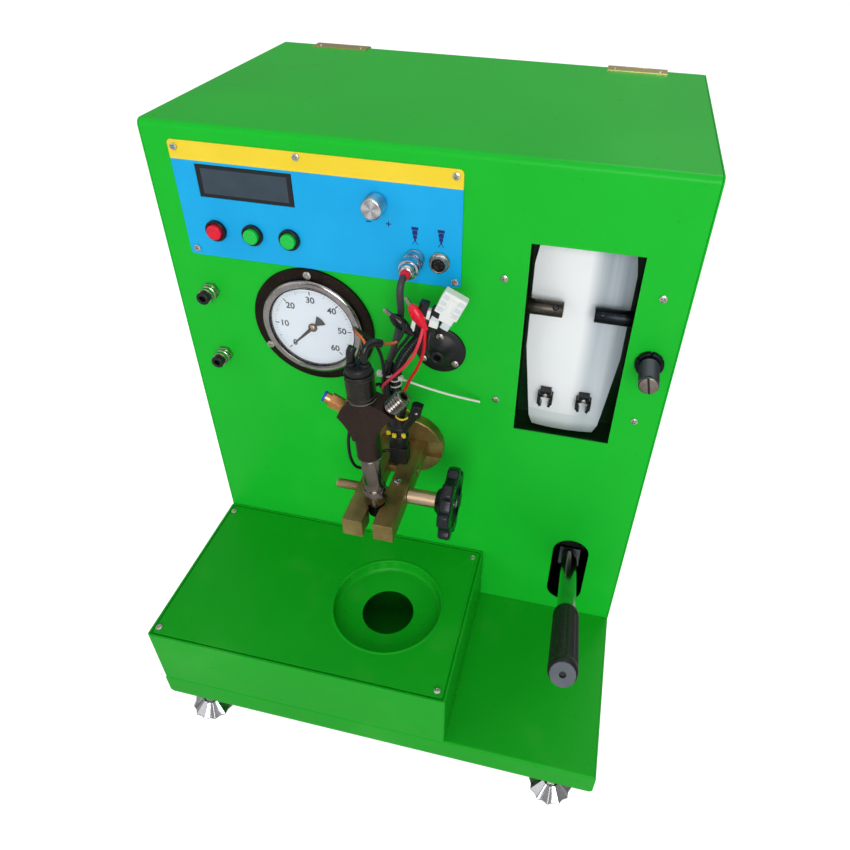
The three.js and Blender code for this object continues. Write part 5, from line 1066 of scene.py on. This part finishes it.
turned("clamp_screw", [(0, 190.55), (4.2, 190.55), (4.5, 190.9),
                       *threaded(5, 0.5, 191.4, 265.6, 1.4), (5, 266.15), (7.8, 266.15),
                       (8.2, 266.5), (8.2, 294.8), (7.9, 295.15), (5, 295.15), (5, 308.15),
                       (0, 308.15)],
       warm_nickel, "chrome", screw_place, 48, body="wheel", replaced="clamp_spindle")
WHEEL_PROFILE = [(5.3, 308.4), (5.3, 295.45), (10.8, 295.45), (11.8, 296.4), (14.6, 299.6),
                 (17, 301.8), (19.4, 303.1), (21, 303.45), (34.2, 303.45), (35.8, 303.9),
                 (36.7, 304.9), (37, 306.2), (37, 312.7), (36.7, 314), (35.8, 315), (34.2, 315.45),
                 (26, 315.45), (24, 315.3), (22.2, 314.6), (20.8, 313.4), (19, 312.7), (16, 312.45),
                 (5.2, 312.45), (4.8, 313.6), (0, 313.6)]
turned("lobed_handwheel", WHEEL_PROFILE, wheel_black, "black_plastic", screw_place, 196, lobes,
       body="wheel", sharp=50, replaced="handwheel")
piece_from("handwheel_screw", screw_form(4.2, 2.6), chrome, "chrome",
           at(313.4, SCREW_Y, SCREW_Z, RIGHT), "wheel", 30)
screws("jaw_set_screw", [(253.4, -78.3, 291.1)], UP, 3.6, 2.0, chrome, "jaw")

# %% [markdown]
# The injector leans a few degrees in the jaws. Everything on it shares its own upright frame, so
# each detail is drawn straight and the frame leans it: the nut's polished collar, the coil's rings,
# the threaded stud with its bore, and the push-in return fitting with a blue release ring.

# %% Injector details
INJECTOR = at(240.32, -108.5, 291.1, rotated(-2.9, "Y"))


def seat(hand, reach, rise, elevation):
    return INJECTOR @ Matrix.Translation(Vector((hand * reach, 0, rise)) * MM) @ rotated(
        hand * (90 - elevation), "Y")


def nut_flats(radius, height, turn):
    if not 22 < height < 59.2:
        return radius
    return radius * (1 - 0.022 * (0.5 + 0.5 * math.cos(12 * turn)))


seams = [(turned_rings([(12.0, 126.4), (13.15, 127.2), (13.2, 127.9), (12.6, 128.3)], 72), UP),
         (turned_rings([(12.3, 60.2), (12.05, 60.6), (11.95, 61.4)], 72), UP)]
piece_from("injector_seam_rings", merged(seams), stud_steel, "steel", INJECTOR, sharp=30)
turned("nozzle_clamping_nut", [(0, -39), (2.6, -39), (3.6, -38), (3.6, -15), (7.7, -15), (8.7, -14),
                               (8.7, 0.6), (11.0, 3.3), (11.2, 3.8), (11.2, 20.0), (10.8, 20.5),
                               (10.0, 20.6), (9.3, 21.6), (9.35, 30), (9.8, 59.0), (9.4, 59.7),
                               (0, 59.7)],
       nut_steel, "steel", INJECTOR, 72, nut_flats, replaced="nozzle_nut")
turned("solenoid_coil_nut", [(0, 127.8), (12, 127.8), (13, 128.6), (13, 131.2), (12.2, 131.9),
                             (12.2, 133.3), (13, 134), (13, 150.6), (12.3, 151.2), (12.3, 152.4),
                             (13, 153), (13, 153.8), (12.4, 154.5), (0, 154.5)],
       coil_skin, "burnished_steel", INJECTOR, 72, replaced="solenoid_nut")
POSTS = (-5.5, 5.5)
foot = turned_rings([(0, 160), (4.6, 160), (4.4, 163.4), (3.8, 164), (0, 164)], 32)
cap = [(turned_rings([(0, 154), (11.2, 154.5), (11.4, 155), (11.4, 159.4), (10.9, 160.5), (10, 161),
                      (0, 161)], 64), UP), *((foot, shift(spread, 0, 0)) for spread in POSTS),
       (turned_rings([(0, 160), (1.5, 160), (1.5, 162.6), (0, 162.6)], 24), shift(0, -7.4, 0))]
piece_from("solenoid_coil_cap", merged(cap), black_plastic, "black_plastic", INJECTOR,
           replaced="solenoid_nut")
post = turned_rings([(0, 163.9), (2.6, 163.9), *threaded(2.6, 0.25, 164.2, 172.4, 0.7), (2.1, 173),
                     (0, 173)], 28)
piece_from("solenoid_terminals", merged([(post, shift(spread, 0, 0)) for spread in POSTS]),
           coil_skin, "steel", INJECTOR, replaced="solenoid_nut")
stud = turned("inlet_stud_thread", [(6.9, 0.6), *threaded(7.8, 1.3, 1.0, 17.6, 3.3), (7.2, 18.2),
                                    (6.9, 19.6), (6.2, 20.15), (4.4, 20.2), (3.3, 19.4), (3.1, 15)],
              stud_steel, "steel", seat(1, 25.3, 119, 49), 56)
turned("return_release_ring", [(2.2, 16.4), (4.6, 16.4), (5.3, 16.9), (5.4, 18.2), (4.9, 19.0),
                               (3.4, 19.2), (2.2, 18.6)],
       blue_plastic, "black_plastic", seat(-1, 19.5, 115, 29), 40)
print("injector's stud points to",
      [round(v, 3) for v in stud.matrix_world.to_3x3() @ Vector((0, 0, 1))])

# %% [markdown]
# The rest of the harness is small trade parts: a white plug connector on its own lead,
# a second supply wire beside the first, cable ties round the loom, and two short copper leads on
# the coil's terminals. All are cords or pieces that sit on one.

# %% White connector and its lead
def block_form(low, high, edge=0.8, steps=3):
    """A box with rounded upright edges and chamfered ends, as rings of points."""
    (x0, y0, z0), (x1, y1, z1) = low, high
    points, faces, count = [], [], 4 * (steps + 1)
    soft = min(edge * 0.6, 0.5)
    for inset, z in ((soft, z0), (0, z0 + soft), (0, z1 - soft), (soft, z1)):
        for cx, cy, begin in ((x1, y1, 0), (x0, y1, 90), (x0, y0, 180), (x1, y0, 270)):
            mx = cx - math.copysign(edge, cx - (x0 + x1) / 2)
            my = cy - math.copysign(edge, cy - (y0 + y1) / 2)
            for k in range(steps + 1):
                dx, dy = polar(edge - inset, begin + 90 * k / steps)
                points.append((mx + dx, my + dy, z))
    for k in range(3):
        faces += ring_faces(k * count, (k + 1) * count, count)
    return points, faces + [tuple(range(count - 1, -1, -1)), tuple(range(3 * count, 4 * count))]


def blocks(*sizes):
    return merged([(block_form(*size), UP) for size in sizes])


connector_place = at(*connector_places[-1], rotated(25, "Y"))
connector_block = piece_from("white_connector_block", blocks(
    ((-11, -4.6, 5), (11, 4.6, 28), 1.2), ((-9, -3.8, -2), (9, 3.8, 5.4), 1.0),
    ((-3, -5.8, 10), (3, -4.4, 24), 0.6), ((-11.4, -2.4, 14), (-10.4, 2.4, 24), 0.3)),
    white_plastic, "white_plastic", connector_place, sharp=30)
cells = [((hand * 6.9 - 2.7, -4.8, 7.4 + 6.6 * k), (hand * 6.9 + 2.7, -4.2, 12.4 + 6.6 * k), 0.5)
         for k in range(3) for hand in (-1, 1)]
connector_cells = piece_from("white_connector_cells", blocks(
    *cells, ((-10.4, -4.2, -7), (-2.4, 3.4, -0.5), 0.8), ((0.6, -4.2, -8), (8.6, 3.4, -0.5), 0.8)),
    grey_plastic, "white_plastic", connector_place, sharp=30)
cable("connector_lead", connector_places, black_wire, "cable_jacket",
      "connector_lead_white")
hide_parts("connector_lead_white")

# %% [markdown]
# The loom's upper end sits in a pair of black plug heads with pale collars, and lower down a
# shrink sleeve gathers the driver's cable and the thin leads. Both hide joints that would
# otherwise look cut off.

# %% Plug heads and shrink sleeves
head_place = at(273, -46, 452, rotated(12, "Y"))
piece_from("loom_plug_heads", blocks(
    ((-8.5, -5, -3), (8.5, 4.5, 17), 1.4), ((-9.6, -4, 19), (-1.2, 4, 32), 1.0),
    ((2.0, -4, 18), (10.4, 4, 30), 1.0), ((-7.5, -6, 2), (-5, -4, 14), 0.5)),
    gloss_black, "black_plastic", head_place, sharp=30)
piece_from("loom_plug_collars", blocks(
    ((-10.4, -5.4, 10.5), (-2.0, 3.6, 19.4), 0.8), ((2.6, -5.2, 11.5), (11.0, 3.6, 18.4), 0.8),
    ((-1.6, -3.0, 15), (2.2, 3.0, 26), 0.8), ((-12.6, -4.2, 0), (-8.6, 2, 11.5), 0.8)),
    white_plastic, "white_plastic", head_place, sharp=30)
SLEEVES = [("left", 4.6, [(241.5, -46, 352), (238.8, -46.6, 365), (236.4, -48.2, 377),
                          (235.4, -49, 388), (236, -46.5, 399), (238, -41.9, 411.6)]),
           ("right", 3.0, [(250.5, -46, 354), (252.6, -47.6, 364), (254, -49.8, 374),
                           (254.3, -50.3, 379)])]
for side, radius, places in SLEEVES:
    def wrinkled(gone):
        return radius * (1 + 0.05 * noise.noise(Vector((gone * 0.35, radius, 0))))
    piece_from(f"shrink_sleeve_{side}", swept_form(smooth_route(places, 40), radius, 24, wrinkled),
               cable_skin, "cable_jacket", sharp=60)
cable("second_red_lead", second_red_places, pink_wire, "red_plastic")

# %% [markdown]
# Cable ties are flat bands with a square head. One is left with its tail uncut: a pale straight
# strip that sticks out to the right, just clear of the panel.

# %% Cable ties
def tie_band(centre, radius, tilt, width=1.5):
    half, outer = width / 2, radius + 0.7
    band = turned_rings([(radius, -half), (outer, -half + 0.15), (outer, half - 0.15),
                         (radius, half), (radius - 0.2, 0), (radius, -half)], 44)
    return band, shift(*centre, rotated(tilt, "Y"))


piece_from("cable_ties", merged([
    tie_band((244.6, -45, 395.4), 5.2, -9), tie_band((244.5, -45, 388.6), 5.2, -9),
    tie_band((236.4, -47.4, 401.4), 5.0, 6, 2.0),
    (block_form((-2.6, -2.2, -2.6), (2.6, 2.2, 2.6), 0.6), shift(230.4, -50, 402.4)),
    (block_form((-2.4, -2, -2.4), (2.4, 2, 2.4), 0.6), shift(250.6, -48.6, 399.2))]),
    tie_nylon, "white_plastic", sharp=35)
TAIL_STEPS, TAIL_SAG = 12, 2.2
tail_start, tail_end = Vector((250.8, -48.8, 398.8)), Vector((321, -7, 353))
points, faces = [], []
for k in range(TAIL_STEPS + 1):
    spot = tail_start.lerp(tail_end, k / TAIL_STEPS)
    spot += Vector((0, 0, -TAIL_SAG * math.sin(math.pi * k / TAIL_STEPS)))
    points += [spot + Vector(d) for d in
               ((0, -0.3, -1.1), (0, 0.35, -1.1), (0, 0.35, 1.1), (0, -0.3, 1.1))]
    if k:
        faces += ring_faces(4 * k - 4, 4 * k, 4)
faces += [(3, 2, 1, 0), tuple(range(4 * TAIL_STEPS, 4 * TAIL_STEPS + 4))]
piece_from("cable_tie_tail", (points, faces), tie_nylon, "white_plastic", sharp=35)

# %% [markdown]
# Two short leads end on the coil's terminals: a black boot over each post, a finger of copper
# braid, then black insulation up to the clip and down into the sleeve.

# %% Leads on the coil's terminals
TERMINALS = {
    "right": (3.5, [(237.6, -108.5, 455), (237.8, -108.2, 464), (239.8, -105, 469.6),
                    (244.6, -99, 470.6), (249.4, -95, 468)],
              1.3, [(248.6, -95.6, 468.4), (254, -90, 465.6), (259, -85, 464.6), (261.4, -80, 467)],
              [(259.6, -84.2, 464.6), (261.4, -80, 467), (262.6, -73, 470), (261, -64, 469),
               (257.6, -57, 464.4), (255, -52, 460.4)]),
    "left": (3.9, [(226.3, -108.5, 454), (226.2, -108.5, 461), (226.8, -107.9, 465),
                   (228.2, -106.4, 468.4)],
             1.2, [(239.4, -106, 470), (237, -103, 474), (232, -100, 476.4), (227.4, -96, 477.6),
                   (224.4, -91, 476.4)],
             [(226, -94, 477.4), (224, -88.6, 475), (223.6, -82, 469.6), (227, -74, 460),
              (232, -64, 446), (235.6, -58, 428), (236.6, -56.4, 412), (236, -53.6, 399),
              (235.6, -50.6, 391)])}
for side, (radius, boot_places, braid_radius, braid_places, lead_places) in TERMINALS.items():
    def narrow_start(gone):
        return radius * (1 if gone > 2 else 0.8 + 0.1 * gone)
    boot_form = swept_form(smooth_route(boot_places, 18), radius, 20, narrow_start)
    boot = piece_from(f"terminal_boot_{side}", boot_form, gloss_black, "black_plastic", sharp=60)
    braid_form = swept_form(smooth_route(braid_places, 24), braid_radius, 14)
    braid = piece_from(f"copper_braid_{side}", braid_form, copper, "brass", sharp=60)
    cable(f"terminal_lead_{side}", lead_places, black_wire, "cable_jacket")

# %% [markdown]
# The injector's plug is a black moulding with a round waist, three yellow retainers in its front
# and a latch to the right with a small bright pin. It is pushed onto the injector's contacts low
# down, behind the jaws, so only its upper half is seen.

# %% Injector plug
PLUG_X, PLUG_Y, PLUG_LOW = 246, -45, 291.4
waist = turned_rings([(0, 19), (8.6, 19.4), (9.4, 21), (9.4, 30), (10, 30.6), (10, 34.8),
                      (9.6, 35.4), (8.4, 35.6), (8.4, 41.4), (10, 42), (10, 45.4), (9.2, 46.4),
                      (7.4, 47.4), (6.6, 50), (6.4, 58.3), (0, 58.3)], 56)
elbow = smooth_route([(250, -45.6, 334), (257, -46.4, 346), (262.6, -47, 356), (265.6, -47, 369)],
                     24)
piece_from("injector_plug_body", merged([
    (block_form((-9.5, -8, 0), (9.5, 8, 20), 2.5), shift(PLUG_X, PLUG_Y, PLUG_LOW)),
    (waist, shift(PLUG_X - 1.2, PLUG_Y, PLUG_LOW, Matrix.Diagonal((1.12, 0.85, 1, 1)))),
    (swept_form(elbow, 4.8, 16), UP),
    (block_form((-4.6, -4.6, -7), (4.6, 4, 7), 1.6), shift(266.2, -47.4, 363, rotated(14, "Y")))]),
    black_plastic, "black_plastic", sharp=32, replaced="injector_plug")
retainer = block_form((-2.2, -1.2, -2.4), (2.2, 1.6, 2.4), 0.7)
seal = turned_rings([(6.5, -1), (7.5, -0.7), (7.7, 0), (7.5, 0.7), (6.5, 1)], 40)
piece_from("injector_plug_retainers", merged([
    *((retainer, shift(x, y, 330.2, rotated(tilt, "Z"))) for x, y, tilt in
      ((236.6, -50.6, 28), (243.4, -53.8, 0), (252.4, -51.8, -26))),
    (seal, shift(250.6, -46.4, 353.6, rotated(16, "X")))]), yellow_plastic, "red_plastic", sharp=30)
screws("plug_latch_pin", [(266.4, -52.0, 362)], OUT, 1.5, 1.2, chrome)
print("harness pieces made; plug stands", PLUG_LOW, "mm above the bench")

# %% [markdown]
# The pump lever is a bright rod with a ribbed grip, and its own end shows in the grip as a dull
# grey cap with a hole, whose floor is painted black as the shade in it. The rod gets a smooth
# sleeve just outside the imported one, because a bright rod shows every flat of a coarse circle.
# Inside the cabinet the lever is painted dark, for oil and as painted shade in the slot.

# %% Lever rod and grip
LEVER_ANGLE = math.radians(33)
LEVER_X, PIVOT_Y, PIVOT_Z = 439, 76, 75.645
LEVER_LENGTH, GRIP_LENGTH, GRIP_RADIUS, HOLE_RADIUS, RIB_ROW = 384, 124, 12.5, 2.9, 4.5
GRIP_START, BRIGHT_ROD = LEVER_LENGTH - GRIP_LENGTH, paint(176, 178, 178)
lever_place = at(LEVER_X, PIVOT_Y, PIVOT_Z, Matrix.Rotation(math.pi / 2 - LEVER_ANGLE, 4, "X"))
turned("lever_rod_skin", [(9.2, 70), (9.46, 70.3), (9.46, GRIP_START + 1)], rod_chrome, "chrome",
       lever_place, 72, body="lever")

lever = Finish("lever_bright_oily_and_shaded", BRIGHT_ROD, 0.14, 1.0)
pivot = place(LEVER_X, PIVOT_Y, PIVOT_Z)
rise, run = lever.along(2) - pivot.z, pivot.y - lever.along(1)
aside, off = lever.along(0) - pivot.x, rise * math.cos(LEVER_ANGLE) - run * math.sin(LEVER_ANGLE)
end_cap = run * math.cos(LEVER_ANGLE) + rise * math.sin(LEVER_ANGLE) > (LEVER_LENGTH - 12) * MM
# The floor of the hole in the end cap is painted near black as its shade.
hole_shade = (aside * aside + off * off < HOLE_RADIUS ** 2 * MM * MM) * end_cap
# Behind the panel the lever is painted dark: oil, and painted shade inside the slot.
inside = lever.clamped(lever.along(1), place(0, -2, 0).y, place(0, 8, 0).y)
smear = lever.cloud(45, 4)
oil_and_shade = lever.mixed(smear, paint(18, 20, 22), paint(44, 46, 48))
cap_grey = lever.mixed(smear, paint(60, 67, 76), paint(98, 104, 112))
tone = lever.mixed(end_cap, lever.mixed(inside, BRIGHT_ROD, oil_and_shade),
                   lever.mixed(hole_shade, cap_grey, paint(8, 9, 10)))
dressed("pump_lever", lever.done(tone, smear * 0.1 + inside * 0.2 + end_cap * 0.5 + 0.08,
                                 (lever.cloud(400, 2), 0.00004, 0.3), 1 - end_cap), 0.8, 3)


def ribbed_grip(radius, height, turn):
    along_grip = height - GRIP_START
    if not 7 < along_grip < GRIP_LENGTH - 9 or radius < 12:
        return radius
    row = 0.5 - 0.5 * math.cos(2 * math.pi * (along_grip - 7) / RIB_ROW)
    band = 0.5 + 0.5 * math.cos(8 * turn)
    return radius - 1.1 * max(row ** 2, band ** 6)


GRIP_STEPS = 220
rows = [(GRIP_RADIUS, GRIP_START + 3 + (GRIP_LENGTH - 7) * k / GRIP_STEPS)
        for k in range(GRIP_STEPS + 1)]
grip_profile = [
    (9.5, GRIP_START), (11.6, GRIP_START), (12.3, GRIP_START + 0.8), (12.5, GRIP_START + 2), *rows,
    (12.1, LEVER_LENGTH - 2.4), (11.2, LEVER_LENGTH - 0.8), (10.2, LEVER_LENGTH),
    (3.0, LEVER_LENGTH)]
turned("ribbed_lever_grip", grip_profile, grip_rubber, "rubber", lever_place, 108, ribbed_grip,
       body="lever", sharp=60, replaced="lever_grip")

# %% [markdown]
# The catch cup is a separate pressing with a rolled rim. The rim stands a little proud of the lid
# and catches the light as a bright ring, which is the first thing seen on the tray.

# %% Rolled rim and skin of the catch cup
CUP_RADIUS = 61.5
cup_place = at(243, -102.5, TRAY_TOP)
rim = turned("tray_cup_rim", [(CUP_RADIUS + out, height) for out, height in (
    (-0.35, -3.6), (-0.5, -0.8), (-0.2, 0.2), (0.6, 0.62), (1.9, 0.55), (3.0, 0.05))],
    tray_paint, "deck_green", cup_place, 144, sharp=60)
turned("tray_cup_skin", [*((CUP_RADIUS - inset, height) for inset, height in (
    (0.35, -3), (0.4, -10.6), (0.9, -12.6), (2.2, -14.0), (4.2, -14.7))), (30.4, -14.75),
    (29.6, -15.1)], tray_paint, "deck_green", cup_place, 144, sharp=60)
print("rim stands", round(max(v.co.z for v in rim.data.vertices) * 1000, 2), "mm above the lid")

# %% [markdown]
# The rear door hangs on two hinges with screws in both leaves, and each side panel is held by
# four screws. These heads are kept low, because they are all that reaches past the drawn size.

# %% Screws at the back and on the sides
screws("hinge_screws_top", [(x, CABINET_REAR - 8, CABINET_TOP + 1.2) for x in (50, 100, 400, 450)],
       UP, 2.6, 0.6)
screws("hinge_screws_door", [(x, CABINET_REAR + 3.1, 586) for x in (75, 425)], REAR, 2.4, 1.2,
       body="door")
for name, x, turn in (("side_screws_left", 0, LEFT), ("side_screws_right", CABINET_WIDTH, RIGHT)):
    screws(name, [(x, y, z) for y in (24, 297) for z in (60, 560)], turn, 3.2, 0.7)

# %% [markdown]
# The floor is a pale sheet that keeps the tester's shadow. White paper would need more light than
# the object can stand, so rays from the camera and through glass see it lifted to white, and
# mirrors see it nearly as it is. The same holds for the sky, which mirrors see darker low down.

# %% Floor, backdrop and light
FLOOR_REACH, AMBIENT, MIDDLE = 6, 0.3, (0, 0, 0.3)


def ray_kinds(wire):
    return (wire.node("LightPath", output=f"Is {kind} Ray")
            for kind in ("Camera", "Glossy", "Transmission"))


pale = Finish("pale_floor", (0.7, 0.7, 0.7, 1), 0.9, Specular_IOR_Level=0.1,
              Emission_Color=(1, 1, 1, 1))
seen, mirrored, through = ray_kinds(pale.wire)
pale.set("Emission Strength", seen * 0.8 + mirrored * 0.05 + through * 0.8)
sheet = bpy.data.meshes.new("floor")
sheet.from_pydata([(x * FLOOR_REACH, y * FLOOR_REACH, 0)
                   for x, y in ((-1, -1), (1, -1), (1, 1), (-1, 1))], [], [(0, 1, 2, 3)])
sheet.materials.append(pale.material)
linked("floor", sheet)

for name, power, size, where in (("window_light", 62, 1.8, (0.7, -3.0, 1.5)),
                                 ("fill_light", 10, 2.0, (-2.0, -1.9, 1.2)),
                                 ("ceiling_light", 9, 2.4, (0.2, -0.2, 2.6)),
                                 ("rear_light", 18, 1.6, (0.8, 2.0, 2.7))):
    light = bpy.data.lights.new(name, "AREA")
    light.energy, light.size = power, size
    lamp = linked(name, light)
    lamp.location = where
    lamp.rotation_euler = (Vector(MIDDLE) - Vector(where)).to_track_quat("-Z", "Y").to_euler()

world = bpy.data.worlds.new("studio")
bpy.context.scene.world = world
world.use_nodes = True
sky = world.node_tree.nodes["Background"]
sky.inputs["Color"].default_value = (1, 1, 1, 1)
studio = Wire(world.node_tree)
seen, mirrored, through = ray_kinds(studio)
rise = studio.node("SeparateXYZ", inputs={"Vector": studio.node("TexCoord", output="Generated")},
                   output=2)
dim = studio.sum("MAXIMUM", rise, 0.0) * 0.55 + 0.16
plain = studio.sum("MINIMUM", seen + through, 1.0)
strength = plain * (1 - AMBIENT) + mirrored * (dim - AMBIENT) + AMBIENT
world.node_tree.links.new(strength.socket, sky.inputs["Strength"])
bpy.context.scene.view_settings.view_transform = "Standard"
